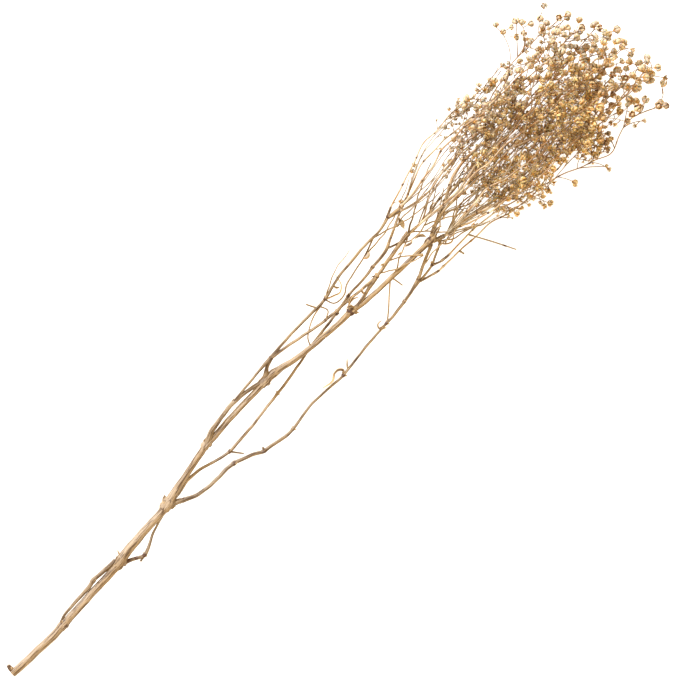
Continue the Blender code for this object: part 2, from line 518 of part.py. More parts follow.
def tube(name, points, radii, sides):
    """A closed tube along points, with a radius at each."""
    vertices = []
    rings = []
    across = None
    for index, point in enumerate(points):
        before = points[max(index - 1, 0)]
        after = points[min(index + 1, len(points) - 1)]
        forward = unit(after - before)
        across, up = side_directions(forward, across)
        rings.append(list(range(len(vertices), len(vertices) + sides)))
        vertices += ring(point, across, up, radii[index], sides)
    faces = [tuple(reversed(rings[0])), tuple(rings[-1])]
    for lower, upper in zip(rings[:-1], rings[1:]):
        faces += bridge(lower, upper)
    return mesh_object(name, vertices, faces)


def shoot_with_bloom(name, path, centre, facing, radius, openness):
    """A three-sided stalk that widens at its end into a crumpled cup of five petals."""
    vertices = []
    faces = [(2, 1, 0)]
    across = None
    for index, point in enumerate(path):
        forward = facing if index == len(path) - 1 else unit(path[index + 1] - point)
        across, up = side_directions(forward, across)
        thickness = PEDICEL_RADIUS * (0.85 if index == 0 else 1.2 if index == len(path) - 1 else 1.05)
        vertices += ring(point, across, up, thickness, 3)
        if index:
            faces += bridge([3 * index - 3, 3 * index - 2, 3 * index - 1], [3 * index, 3 * index + 1, 3 * index + 2])
    neck = len(vertices) - 3
    petals = len(vertices)
    for petal in range(5):
        angle = 2 * math.pi * petal / 5
        spread = radius * (PETAL_REACH - 0.16 * math.cos(1.5 * angle + 7 * openness) ** 2)
        rise = radius * (0.10 + 0.22 * math.sin(2 * angle + 11 * openness))
        side = across * math.cos(angle) + up * math.sin(angle)
        vertices.append(centre + side * spread + facing * rise)
    vertices.append(centre + facing * radius * (0.8 - 0.8 * openness))
    first, second, third = neck, neck + 1, neck + 2
    faces += [(first, petals + 1, petals), (first, second, petals + 1), (second, petals + 2, petals + 1)]
    faces += [(second, petals + 3, petals + 2), (second, third, petals + 3), (third, petals + 4, petals + 3)]
    faces += [(third, first, petals + 4), (first, petals, petals + 4)]
    faces += [(petals + petal, petals + (petal + 1) % 5, petals + 5) for petal in range(5)]
    return mesh_object(name, vertices, faces)


def surface_material(name, colour, roughness):
    """A dry plant surface of one colour."""
    material = bpy.data.materials.new(name)
    material.use_nodes = True
    shader = material.node_tree.nodes["Principled BSDF"]
    shader.inputs["Base Color"].default_value = tuple(channel ** 2.2 for channel in colour) + (1.0,)
    shader.inputs["Roughness"].default_value = roughness
    shader.inputs["Metallic"].default_value = 0.0
    return material


def fuse(name, pieces, material):
    """Join pieces into one closed body, laid on the surface where it would reach below it."""
    body = pieces[0]
    bpy.context.scene.collection.objects.link(body)
    gathered = bpy.data.collections.new(name + "_pieces")
    for piece in pieces[1:]:
        gathered.objects.link(piece)
    union = body.modifiers.new("union", "BOOLEAN")
    union.operation = "UNION"
    union.operand_type = "COLLECTION"
    union.collection = gathered
    union.solver = "EXACT"
    bpy.context.view_layer.update()
    evaluated = body.evaluated_get(bpy.context.evaluated_depsgraph_get())
    mesh = bpy.data.meshes.new_from_object(evaluated)
    for piece in pieces:
        bpy.data.objects.remove(piece)
    bpy.data.collections.remove(gathered)
    tidy(mesh)
    mesh.materials.clear()
    mesh.materials.append(material)
    fused = bpy.data.objects.new(name, mesh)
    bpy.context.scene.collection.objects.link(fused)
    return fused


def is_closed(shape):
    """True where every edge joins exactly two triangles."""
    return all(len(edge.link_faces) == 2 for edge in shape.edges)


def drop_scraps(shape):
    """Remove every loose shell but the largest, such as a sliver that a fused root leaves behind."""
    waiting = set(shape.faces)
    shells = []
    while waiting:
        shell = {waiting.pop()}
        front = set(shell)
        while front:
            front = {face for old in front for edge in old.edges for face in edge.link_faces} & waiting
            waiting -= front
            shell |= front
        shells.append(shell)
    largest = max(shells, key=len)
    scraps = [face for shell in shells if shell is not largest for face in shell]
    bmesh.ops.delete(shape, geom=scraps, context="FACES")


def merged_flats(mesh, degrees):
    """The mesh with nearly flat neighbours merged and then split into as few triangles as they need."""
    shape = bmesh.new()
    shape.from_mesh(mesh)
    bmesh.ops.remove_doubles(shape, verts=shape.verts, dist=0.000002)
    if degrees:
        bmesh.ops.dissolve_limit(shape, angle_limit=math.radians(degrees), verts=shape.verts, edges=shape.edges)
    bmesh.ops.triangulate(shape, faces=shape.faces)
    bmesh.ops.dissolve_degenerate(shape, edges=shape.edges, dist=0.000005)
    bmesh.ops.triangulate(shape, faces=shape.faces)
    drop_scraps(shape)
    return shape


def tidy(mesh):
    """Merge flat fragments where the surface stays closed, and flatten what would sink into the surface."""
    for degrees in FLAT_ANGLES + (0,):
        shape = merged_flats(mesh, degrees)
        if is_closed(shape) or degrees == 0:
            break
        shape.free()
    for vertex in shape.verts:
        vertex.co.z = max(vertex.co.z, 0.0)
    shape.to_mesh(mesh)
    shape.free()


def routed_tube(name, chain, sides):
    """A tube along points that carry their own radius."""
    return tube(name, [place(point) for point in chain], [point[3] for point in chain], sides)


def make_stem():
    """The woody stem, its side branches, and the stubs that carry the sprays."""
    pieces = [routed_tube("stem", MAIN_STEM, 8)]
    for name, chain in BRANCHES:
        thick = max(point[3] for point in chain)
        pieces.append(routed_tube(name, chain, 6 if thick > 1.9 else 4 if thick > 0.7 else 3))
    for name, root_radius, route in SPRAYS:
        pieces.append(tube(name + "_stub", [place(route[0]), place(route[1])], [root_radius * 1.1, root_radius], 4))
    fuse("main_stem", pieces, surface_material("stem_bark", STEM_COLOUR, 0.62))


def make_spray(index, name, root_radius, route, shoots):
    """One spray: its own twig, and the shoots along it, each with a bloom at its end."""
    points = spray_path(name, route)[1:]
    points[0] = points[0] + unit(points[0] - place(route[0])) * SEAT_GAP
    radii = [TWIG_RADIUS + (root_radius - TWIG_RADIUS) * math.exp(-0.45 * step) for step in range(len(points))]
    pieces = [tube(name + "_route", points, radii, 3)]
    pieces += [routed_tube(name + "_bare", chain, 3) for carrier, chain in BARE_TWIGS if carrier == name]
    for shoot in shoots:
        pieces.append(shoot_with_bloom(name + "_bloom", *shoot))
    colour = SPRAY_COLOURS[index % len(SPRAY_COLOURS)]
    fuse(name, pieces, surface_material(name + "_dry", colour, 0.75))


def main():
    """Clear the scene and make the whole stem."""
    for old in list(bpy.data.objects):
        bpy.data.objects.remove(old)
    make_stem()
    grown = grow_sprays()
    for index, (name, root_radius, route) in enumerate(SPRAYS):
        make_spray(index, name, root_radius, route, grown[name])


main()
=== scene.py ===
import functools
import math
import random

import bpy
import numpy as np
from bpy.props import FloatProperty, FloatVectorProperty, IntProperty, PointerProperty
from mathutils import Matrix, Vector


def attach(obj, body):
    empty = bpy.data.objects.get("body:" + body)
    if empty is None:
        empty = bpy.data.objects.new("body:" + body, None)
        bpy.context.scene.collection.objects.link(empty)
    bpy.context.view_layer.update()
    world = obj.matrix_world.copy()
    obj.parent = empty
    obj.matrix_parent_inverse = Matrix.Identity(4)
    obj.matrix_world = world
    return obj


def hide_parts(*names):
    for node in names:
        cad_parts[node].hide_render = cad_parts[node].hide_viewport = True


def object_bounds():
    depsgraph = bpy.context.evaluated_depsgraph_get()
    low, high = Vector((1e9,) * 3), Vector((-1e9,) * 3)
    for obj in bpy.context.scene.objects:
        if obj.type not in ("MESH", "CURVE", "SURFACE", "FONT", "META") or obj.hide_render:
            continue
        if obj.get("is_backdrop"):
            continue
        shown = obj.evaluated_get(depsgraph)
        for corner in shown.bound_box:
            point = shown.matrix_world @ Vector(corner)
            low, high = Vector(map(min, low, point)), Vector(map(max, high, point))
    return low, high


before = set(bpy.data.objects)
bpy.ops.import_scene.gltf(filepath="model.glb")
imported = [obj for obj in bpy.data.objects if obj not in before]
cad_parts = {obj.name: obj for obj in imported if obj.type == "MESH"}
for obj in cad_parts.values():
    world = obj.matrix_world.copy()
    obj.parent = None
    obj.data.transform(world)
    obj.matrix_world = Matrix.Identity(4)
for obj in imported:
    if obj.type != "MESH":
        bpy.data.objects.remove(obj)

bl_info = {
    "name": "Dried gypsophila stem",
    "version": (1, 0, 0),
    "blender": (4, 5, 0),
    "location": "View3D > Sidebar > Gypsophila",
    "description": "A dried flowering stem: woody stem, fine twigs and crumpled papery blooms",
    "category": "Add Mesh",
}

# Routes are written in millimetres as along, across and lift: distance from the cut end,
# distance to the left of it, and height above the stem's rising axis.

MM = 0.001
STEM_RADIUS = 3.1
RISE = 0.0600
ORIGIN_ALONG = 349.77
ORIGIN_ACROSS = 28.22
NODE_CLEARANCE = 0.45
PEDICEL_RADIUS = 0.43
BLOOM_RADIUS = (2.3, 3.1)
SMALL_BLOOM_RADIUS = (1.6, 2.2)
PETAL_REACH = 1.12
BLOOM_SPACING = 5.4
BLOOM_COUNT = 292
GROUP_REACH = 13.0
GROUP_SIZE = 5
BENT_LENGTH = 13.0
CROWDING = 0.35
WANDER = 1.1
SEED = 4
BOX_LOW, BOX_HIGH = (tuple(corner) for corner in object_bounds())
SHIFT = np.array((ORIGIN_ALONG, ORIGIN_ACROSS, 0.0))

# Woody stem from the cut end to the last joint: along, across, lift, radius
MAIN_STEM = [
    (-2, -3.5, 0, 3.0), (10, -4, 0, 3.1), (30, -4.3, 0, 3.15), (46, -4.3, 0, 3.3), (54, -3.8, 0, 3.9),
    (62, -3.2, 0, 3.2), (80, -2, 0, 3.1), (100, -0.8, 0, 3.1), (113, 0, 0, 3.3), (121, 0.7, 0, 4.9),
    (128, 2.4, 0, 4.0), (140, 4, 0, 3.6), (160, 5.6, 0, 3.3), (174, 6.6, 0, 3.4), (180, 7.6, 0, 5.2),
    (187, 9.3, 0, 3.6), (200, 12.6, 0, 2.8), (215, 15.8, 0, 2.6), (228, 18.6, 0, 2.8),
    (236, 20.4, 0, 4.0), (243, 20.4, 0, 2.4), (255, 21.4, 0, 2.1), (275, 22.8, 0, 2.0),
    (292, 23.3, 0, 2.1), (303, 24, 0, 4.3), (313, 24, 0, 3.6), (320, 22.8, 0, 2.6), (330, 20.6, 0, 1.9),
    (345, 18.6, 0, 1.8), (360, 17.5, 0, 1.8), (378, 16.5, 0, 1.7), (386, 16.4, 0, 2.2),
    (392, 16.4, 0, 3.3), (400, 15, 0, 1.7), (415, 14, 0, 1.5), (440, 13.5, 0, 1.5), (465, 13.2, 0, 1.6),
    (474, 13.2, 0, 3.1), (480, 13.2, 0, 2.4),
]

# Side branches fused to the stem: name, points as along, across, lift, radius
BRANCHES = [
    ("cut_stub", [(0, -3, 0, 2.0), (0, 1, 0.5, 2.0), (0.3, 4, 0.8, 1.2)]),
    ("close_sprig", [(50, -2.4, 0.5, 0.8), (60, 1.1, 1.2, 0.9), (75, 2.7, 1.4, 1.1), (90, 3.9, 1.6, 1.3),
        (96, 5, 1.8, 1.9), (101, 4.9, 1.6, 1.3), (120, 4.4, 1.2, 1.5)]),
    ("low_twig", [(119, -0.5, -0.5, 1.6), (128, -3.4, -1, 1.2), (134, -6.5, -1.5, 1.1),
        (139, -8.6, -1.8, 1.4), (144, -7.2, -1.8, 1.1), (150, -4.2, -1.5, 0.9), (157, -0.6, -1.2, 0.8),
        (164, 1.8, -1, 0.7), (176, 5, -0.5, 0.7)]),
    ("low_spur", [(140, -8.8, -1.8, 0.7), (133.5, -9.9, -2, 0.6)]),
    ("joint_spike", [(125, 4, 1.5, 0.8), (126.8, 9.6, 2.5, 0.5)]),
    ("joint_knob", [(178, 8.5, 1, 2.6), (181, 12.2, 2, 1.7)]),
    ("right_branch", [(181, 6, -1, 2.4), (188, 3.6, -1.5, 1.9), (192, 1.2, -2, 1.6),
        (197, -1.2, -2.5, 1.4), (203, -3.2, -3, 1.3), (212, -4.7, -4, 1.2), (225, -5, -5, 1.2),
        (237, -5, -5.5, 1.2), (241, -5.4, -6, 1.8), (248, -7.8, -6.5, 1.1), (256, -10.8, -7, 1.1),
        (265, -15.2, -8, 1.7), (273, -16.4, -8.5, 1.1), (287, -18.6, -9, 1.1), (293.5, -18.7, -9, 1.4),
        (300, -17.5, -9.5, 0.9), (315, -14.8, -10, 0.8), (335, -14.9, -10, 0.8), (352, -15.5, -10, 1.5),
        (360, -14.6, -10, 0.8), (378, -12, -9.5, 0.8), (398, -10.2, -8.5, 0.8), (405, -9.8, -8, 1.3),
        (420, -8.2, -7, 0.9), (427, -7.2, -6.5, 1.4), (440, -4.2, -5.5, 1.1), (447, -2, -4.5, 1.4),
        (458, 3.4, -2.5, 1.0), (466, 7, -1.2, 1.0), (474, 10.8, 0, 1.2)]),
    ("right_spur", [(265, -15, -8, 0.8), (266.3, -12.2, -7, 0.6)]),
    ("right_fork", [(437, -5, -6, 0.9), (450, -3.6, -6, 0.8), (463, -1.4, -5.5, 1.3), (470, 2, -4, 0.7),
        (478, 6, -2, 0.8), (483, 9, -1, 0.8)]),
    ("right_leaf", [(352, -15.5, -10, 0.7), (354.5, -12.5, -8.5, 0.8), (352.5, -10, -7.5, 0.8),
        (348, -9.6, -7.5, 0.6), (343, -12.8, -8.5, 0.6), (333, -11.6, -8, 0.5)]),
    ("right_spike", [(357.5, -14.6, -10, 0.6), (360, -11.5, -8, 0.6), (363.3, -8, -6.5, 0.5)]),
    ("right_curl", [(405, -9.8, -8, 0.6), (398, -8, -7, 0.5), (399.5, -5.6, -6, 0.5),
        (404, -5.3, -5.5, 0.5)]),
    ("right_hook", [(398.5, -10, -8.5, 0.6), (403, -12.2, -8, 0.5)]),
    ("cross_twig", [(406, -9.6, -8, 0.5), (412, -4.5, -6.5, 0.5), (420, 3, -4, 0.5), (431, 13, -0.5, 0.5)]),
    ("hanging_spur", [(433, 13.2, 0, 0.5), (434, 9, -1, 0.5), (435, 3, -2, 0.45)]),
    ("lower_strand", [(183, 7.5, -2.5, 1.3), (192, 7.5, -4, 1.0), (205, 10.5, -4.5, 1.1),
        (216, 9.9, -5, 1.0), (232, 6, -5.5, 0.9), (245, 3.6, -6, 1.6), (252, 4, -6, 1.0),
        (272, 5.8, -6.5, 0.9), (292, 8.6, -6.5, 0.9), (304, 10.2, -6.5, 1.2), (322, 13, -6.5, 0.9),
        (338, 16.3, -6, 0.8), (352, 19.2, -5, 0.8), (370, 21.8, -4, 0.9), (382, 23.8, -3.5, 1.8),
        (390, 25, -3, 0.9), (398, 27, -2.5, 1.5), (415, 28, -2, 0.8), (428, 29.8, -1.5, 1.5),
        (446, 32.7, -0.5, 1.1), (454, 36.5, 1, 0.9), (463, 41, 2.5, 0.8), (472, 45.4, 4, 0.8),
        (479, 48.4, 5, 0.8)]),
    ("strand_spur", [(245, 3.5, -6, 0.7), (252, -5.4, -6, 0.45)]),
    ("strand_link", [(446, 32.7, -0.5, 0.7), (451, 31, 0.5, 0.7), (458, 28.6, 1.8, 0.7)]),
    ("left_branch", [(235, 20.5, 0.5, 2.6), (245, 24.4, 2, 1.7), (258, 27.4, 3, 1.4),
        (273, 29.3, 3.5, 1.4), (288, 28.2, 2.5, 1.2), (303, 25.5, 0.8, 1.4)]),
    ("left_bract", [(272, 29.2, 3.5, 1.1), (277, 31.4, 4.2, 0.8)]),
    ("left_strand", [(271, 29.2, 3.5, 0.9), (285, 30.8, 4.5, 0.8), (305, 33.1, 5, 0.8),
        (320, 34.3, 5, 1.3)]),
    ("joint_twig", [(304, 25, 0.5, 2.0), (309.5, 28.6, 2, 1.5), (313, 31, 3.5, 1.1), (321, 34.4, 5, 1.5)]),
    ("upper_twig", [(320, 34.3, 5, 1.2), (328, 35.2, 5.5, 1.0), (350, 36.9, 7.5, 0.9),
        (372, 37.2, 9, 0.9), (384, 38, 10, 1.3), (394, 40.7, 10.5, 0.9), (402, 42.7, 11, 0.9),
        (420, 44.9, 12, 0.9), (440, 46.6, 13, 0.8), (452, 46.8, 13.5, 0.8), (464, 50, 14, 1.1)]),
    ("upper_spike", [(374, 37, 9, 0.6), (369.5, 45.5, 11, 0.5)]),
    ("upper_hook", [(383, 37.5, 10, 0.8), (391, 34.6, 9.5, 0.7), (395, 33.3, 9.3, 0.6),
        (399.5, 36, 9.8, 0.5), (402.5, 47, 12.5, 0.45)]),
    ("pale_strand", [(349, 18.6, 0.5, 0.5), (352, 25, 3, 0.45), (358, 29.6, 5, 0.45),
        (368, 34.4, 7.5, 0.45), (380, 36.8, 9.6, 0.5)]),
    ("middle_twig", [(320, 34.3, 5, 1.2), (333, 32.2, 4.8, 0.9), (350, 29.3, 4.2, 0.9),
        (372, 25.6, 3.6, 1.3), (392, 24.6, 3, 0.9), (410, 23.2, 2.6, 0.9), (425, 22.6, 2.3, 1.8),
        (440, 25, 2.2, 1.2), (455, 28, 2, 1.3), (467, 29.6, 2, 1.9)]),
    ("link_twig", [(376, 37, 9.2, 0.5), (378.7, 30, 6.5, 0.45), (373, 26, 3.8, 0.5)]),
    ("dark_twig", [(383, 37.5, 10, 0.5), (386, 30.6, 7, 0.45), (398, 30.4, 5.5, 0.5), (402, 33.4, 6, 0.5),
        (412, 36.5, 7.5, 0.5), (428, 40.2, 9.5, 0.5), (445, 46.4, 13, 0.6)]),
    ("dry_bud", [(427, 40.2, 9.5, 1.5), (431.5, 38.8, 9, 1.9), (434, 41.6, 10, 1.2)]),
    ("joint_branch", [(391, 16.6, 0.5, 2.0), (400, 16.6, 1, 1.2), (412, 19.4, 1.8, 1.1),
        (425, 22.4, 2.3, 1.5)]),
    ("tangle_leaf", [(391, 17, 1.5, 0.6), (393, 21, 3.5, 0.5), (399, 22.4, 4, 0.5), (404, 20.5, 3, 0.5)]),
    ("crossing_twig", [(440, 24.8, 2.2, 0.5), (450, 20, 2.4, 0.45), (457, 14.6, 2.4, 0.5),
        (463.5, 9.2, 2.4, 0.9)]),
    ("brown_bud", [(466.5, 29.6, 2, 0.8), (467, 35, 3.5, 1.2), (467.3, 39.5, 4.5, 2.3),
        (470, 41.5, 5, 1.0)]),
    ("loose_hook", [(479, 8.6, -1, 0.7), (482, 3.2, -2.5, 0.6), (486, 1, -3, 0.6), (493.5, 4.6, -2, 0.45)]),
    ("right_outer", [(444, -3.2, -5.6, 0.8), (455, -6.4, -7, 0.7), (459, -7.4, -7.4, 0.7)]),
    ("right_return", [(462, -1.2, -5.5, 0.9), (468, -3.6, -5.4, 0.7), (471, -4.6, -5.2, 0.7)]),
]

# Sprays: name, radius at the root, and a route of along, across, lift.
# The first stretch of each route is a stub of the woody stem, and the spray grows on from there.
SPRAYS = [
    ("spray_crown", 1.35, [(476, 14, 0), (485, 18.5, 2), (492, 22, 4), (500, 25.5, 6), (513, 32, 7.5),
        (526, 38, 8.5), (537, 40.3, 10), (552, 40.4, 11.5), (575, 38, 15), (600, 36, 18), (625, 37, 21.5),
        (648, 39, 23)]),
    ("spray_middle_upper", 1.0, [(476, 13.5, 0), (486, 14.5, 4), (499, 18, 9), (515, 21, 12.5),
        (530, 23, 15), (550, 21, 19), (575, 21, 23), (600, 23, 27), (630, 25, 29.5), (658, 24, 28)]),
    ("spray_middle_lower", 1.0, [(476, 12.5, 0), (487, 11.5, -3), (498, 15, -7), (510, 17.3, -9.5),
        (530, 16, -12.5), (550, 13, -15.5), (580, 12, -19.5), (610, 12, -23), (640, 13, -24.5),
        (668, 14, -21.5)]),
    ("spray_brown_lower", 1.25, [(476, 11.5, 0), (486, 8.3, 1), (497, 7.3, 2), (508, 5.5, 4),
        (520, 2.5, 5.5), (535, -3, 6.5), (550, -5, 8), (575, -4, 11.5), (600, -5, 14), (625, -8, 15),
        (642, -9, 13)]),
    ("spray_middle_high", 0.9, [(476, 13, 1), (485, 11.5, 6), (500, 9.5, 14), (515, 10, 19),
        (530, 11, 22), (550, 8, 27), (575, 5, 31), (600, 4, 33), (630, 3, 33), (655, 2, 30.5)]),
    ("spray_under", 0.9, [(476, 12.5, -1), (484, 14.5, -6), (498, 14, -13), (515, 13, -18),
        (535, 12, -21.5), (560, 16, -25.5), (590, 20, -29.5), (620, 22, -31), (652, 20, -28)]),
    ("spray_left_under", 0.9, [(467, 29.5, 2), (475, 30.5, -1), (490, 31, -5), (508, 32, -8.5),
        (530, 29, -10.5), (545, 27, -13), (560, 30, -16.5), (590, 32, -21.5), (620, 34, -24.5),
        (650, 33, -23), (670, 30, -18)]),
    ("spray_fan", 0.9, [(467, 29, 2), (475, 28.7, 6), (490, 27.8, 10), (505, 27, 14.5), (525, 28, 18),
        (550, 30, 22), (580, 31, 27), (610, 33, 31), (642, 33, 30.5)]),
    ("spray_left_low", 0.8, [(466, 30.5, 2), (476, 33.5, 2), (487, 36, 0), (502, 39.5, -3),
        (518, 42, -5.5), (535, 45, -7.5), (555, 46, -10.5), (580, 47, -14), (610, 48, -16.5),
        (640, 49, -16.5), (666, 49, -11.5)]),
    ("spray_left_middle", 0.9, [(463, 49.5, 14), (474, 46.5, 12), (483, 43.5, 10), (500, 42.3, 8),
        (520, 44.5, 4.5), (533, 46.5, 3.5), (548, 49, 2.5), (562, 49, 2.5), (587, 50, 4), (612, 52, 6.5),
        (640, 52, 7.5), (670, 53, 5.5)]),
    ("spray_left_high", 0.9, [(463, 50, 14.5), (475, 48.5, 17), (495, 50.5, 19), (518, 54.5, 19.5),
        (530, 58, 19.5), (548, 59, 21.5), (565, 59, 23), (580, 57, 24.5), (600, 56, 27), (630, 57, 25.5),
        (655, 59, 20.5)]),
    ("spray_outer_left", 0.9, [(478, 48, 5), (485, 50.8, 5), (500, 57, 5), (513, 61.5, 4.5),
        (530, 62.3, 4), (545, 62, 3.5), (572, 61.5, 1.5), (600, 62.5, 0), (616, 68, -1),
        (632, 70.5, -1.5), (650, 69, -1.5), (672, 67, -2.5)]),
    ("spray_outer_thin", 0.8, [(463, 50.2, 14), (471, 54, 14.5), (483, 58, 15), (490, 60.5, 15),
        (506, 66, 14.5), (528, 72, 11.5), (545, 73.5, 10.5), (560, 73, 10), (576, 72, 9), (592, 70, 9)]),
    ("spray_lower_edge", 0.9, [(470, -4.2, -5.3), (478, -5, -5.3), (490, -4.2, -6), (510, -4.6, -7.5),
        (530, -7, -8), (548, -11, -10), (560, -14.5, -10.5), (576, -18, -10.5), (592, -24.5, -10),
        (612, -31, -9), (624, -34.5, -8), (640, -31.5, -7.5), (655, -27.5, -6.5), (668, -31, -5.5),
        (677, -35, -5)]),
    ("spray_lower_thin", 0.8, [(458, -7.2, -7.3), (464, -8.5, -8), (487, -8.5, -11), (510, -10, -13),
        (530, -12, -15), (545, -14.5, -17), (560, -16, -19.5), (580, -16, -23), (605, -14, -26),
        (635, -13, -27), (658, -12, -23), (682, -12, -16.5)]),
    ("spray_lower_high", 0.9, [(477, 10.5, 0), (486, 5.5, 5), (500, 2.5, 11), (515, -0.5, 14.5),
        (535, -5, 18), (555, -8, 21.5), (580, -10, 25.5), (610, -10, 28), (640, -10, 26), (668, -9, 21.5),
        (688, -8, 15.5)]),
    ("spray_top", 0.9, [(476, 14, 2), (484, 16.5, 9), (497, 20, 18), (512, 23, 24), (530, 26, 27),
        (555, 26, 33), (585, 24, 33), (615, 22, 33), (645, 20, 33), (672, 18, 30.5)]),
    ("spray_bottom", 0.9, [(476, 12, -1.5), (483, 10.5, -8), (495, 8, -15), (510, 5, -20.5),
        (530, 2, -23), (555, 0, -28), (585, 0, -32), (615, 3, -33), (645, 4, -32), (672, 6, -24.5)]),
    ("spray_far", 1.0, [(478, 13.2, 0), (488, 13.4, 0.5), (505, 13.2, 1), (530, 12, 1), (560, 13, 1.5),
        (600, 14, 2.5), (640, 15, 3.5), (670, 16, 3.5), (690, 17, 2.5)]),
    ("spray_right_far", 0.9, [(476, 11, -1), (486, 7.4, -5), (500, 6, -8), (515, 3.5, -8), (540, 1, -7.5),
        (570, -2, -6.5), (600, -3, -5.5), (640, -4, -5.5), (675, -3, -5.5), (694, -3, -5.5)]),
    ("spray_left_far", 0.9, [(476, 15, -0.5), (486, 20, -2.5), (505, 26.5, -3), (525, 31, -1.5),
        (550, 35, 0), (580, 37, 1.5), (610, 39, 1), (640, 41, -1), (670, 42, -2.5), (684, 43, -3.5)]),
]

# Twigs without a bloom: the spray that carries them, and points as along, across, lift, radius
BARE_TWIGS = [
    ("spray_lower_edge", [(500.5, -4.4, -6.7, 0.62), (505.5, -13, -7.4, 0.58), (510, -21, -8, 0.6),
        (519.5, -39, -9, 0.52)]),
    ("spray_lower_thin", [(486.5, -8.5, -10.9, 0.7), (487.5, -12.8, -11.4, 0.8)]),
]

# Single blooms at the edge of the head: along, across, and whether it is a small one
EDGE_BLOOMS = [
    (631, 101, 0), (631, 92, 0), (638, 90, 0), (643.5, 91, 0), (647, 87, 0), (651, 81.5, 0), (636, 82, 0),
    (641, 79.5, 0), (659, 79, 0), (660.5, 73, 0), (668, 84, 0), (641, 72, 0), (653, 70, 0), (670, 69, 0),
    (675, 65, 0), (681, 57, 0), (677, 51, 0), (685.5, 46, 0), (687, 41.5, 0), (687.5, 36, 0),
    (683, 32, 0), (691.5, 23.5, 0), (694, 18.5, 0), (687, 18.5, 0), (694, 10.5, 0), (682, 10, 0),
    (680.5, 3.5, 0), (691, -0.5, 0), (685, -2, 0), (699, -2, 0), (675, -1.5, 0), (656.5, 2.5, 0),
    (659, -4, 0), (665, 4, 0), (690.5, -9.5, 0), (699, -14, 0), (692.5, -25.5, 0), (697, -23, 0),
    (678, -35.5, 0), (682, -39, 0), (668, -26, 0), (674, -24.5, 0), (652, -27, 0), (658.5, -25.5, 0),
    (654.5, -33.5, 1), (662.5, -36, 1), (615.5, -41, 1), (616, -45, 1), (618, -29, 0), (589, -33, 0),
    (564, -31, 0), (559, -29.5, 1), (559, -25.5, 1), (563.5, -23.5, 0), (569.5, -23.5, 1),
    (551, -20.5, 1), (539, -19, 0), (567, -17.5, 0), (573, -16, 0), (577, -19, 0), (575, -7.5, 0),
    (580, -10.5, 0), (591.5, -13, 0), (652, -9, 0), (635, -23.5, 0), (627, -21, 0), (612, 73, 0),
    (617, 71.5, 1), (596, 68, 0), (590, 68, 0), (588, 75, 1), (584, 73.5, 1), (575, 75, 1),
    (570, 72.5, 1), (564, 74.5, 1), (558, 77.5, 1), (561, 72, 1), (545.5, 70, 1), (556, 69, 1),
    (551, 67, 1), (503, 63, 1), (507, 65, 1), (548, 55, 0), (530, 46.5, 0), (537, 53, 1), (525, 8.5, 1),
    (508, -1.5, 1), (480, 51.5, 1), (520, 31, 1), (665, 37, 0), (670, 38, 0),
]

# Two low blooms that the head rests on: along, across
FOOT_BLOOMS = [(604, -12), (622, 50)]

# Outline of the dense head at several distances from the cut end
HEAD_ALONG = (515, 540, 560, 580, 600, 620, 640, 660, 680, 692)
HEAD_RIGHT = (-8, -19, -25, -19, -22, -31, -24, -26, -23, -13)
HEAD_LEFT = (54, 67, 76, 72, 70, 74, 82, 69, 48, 34)
HEAD_DEPTH = (10, 22, 30, 35, 38, 39, 37, 33, 22, 12)

# Where blooms stand closest: along from, to, across from, to, share of places filled
CROWDED = [
    (598, 655, -24, 36, 1.0), (530, 600, -18, 18, 0.9), (655, 690, -24, 30, 0.7), (540, 640, 50, 80, 0.7),
    (640, 665, 50, 80, 1.0),
]
OPEN_SHARE = 0.36

# The stage, in metres and degrees: reach and glow of the floor, what the camera sees, and the key light
FLOOR_REACH = 15
FLOOR_GLOW = 0.9
SENSOR = 36
VIEW_CENTRE = (0.01905, -0.0224)
VIEW_LEVEL = 0.035
VIEW_WIDTH = 0.538776
VIEW_TURN = -44
KEY_TURN = (-57, 2, 0)
KEY_WIDTH = 12

# How a twig chooses its root: up to the easy turn only distance counts, and a very short stalk is avoided
EASY_TURN = 0.85
TURN_COST = 2.5
SHORT_STALK = 3.5
SHORT_COST = 40

# The finer detail of the wood and twigs: swellings at joints, thickening of thin wood, waver of the
# twigs, and the strands that wind beside them
COLLAR_REACH = 0.95
COLLAR_HEIGHT = 0.72
COLLAR_SWELLING = 1.12
THIN_GAIN = 0.32
ROUTE_WAVER = 1.2
STRANDS = 2
STRAND_SPREAD = (3.0, 9.0)
STRAND_STRIDE = 12
STRAND_TWIST = 2.4
STRAND_DRIFT = 1.4
STRAND_TIP = 0.28
STRAND_GAIN = 0.24
STRAND_FADE = 60
LONE_TWIGS = ("spray_lower_edge", "spray_lower_thin", "spray_outer_thin")
CURVE_STEPS = 9

# How far a stalk bows out at most and by chance, as shares of its length, and at which shares of it a
# later stalk may start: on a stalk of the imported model, and on an added one
STALK_BOW = 0.2
STALK_CHANCE = 0.08
PACKED_ROOTS = (0.35, 0.6, 0.8)
ADDED_ROOTS = (0.3, 0.65)

# The small joints of a thin twig: least distance between two, reach of each, and how much it thickens
# and darkens the twig
RING_GAP = 24
RING_REACH = 1.3
RING_SWELLING = 0.45
RING_DARK = 0.75

# The section of a dry leaf's gutter
LEAF_FLAT = 0.28
LEAF_CURL = 0.7

# The added blooms: where along the stem they start and end, the reach of a clump of them, and from where
# on they are the large ones of the rim. Before the young stretch ends they are all small buds.
EXTRA_SEED = 11
EXTRA_ALONG = (496, 690)
YOUNG_ALONG = 545
RIM_ALONG = 645
RIM_ACROSS = 46
CLUMP_REACH = 3.5
FLOOR_GAP = 1.5

# Each kind of added bloom: smallest and largest radius, and how close two of them may stand
BUD = ((0.8, 1.5), 1.9)
FILL = ((1.7, 2.7), 3.6)
RIM = ((2.5, 3.4), 4.8)

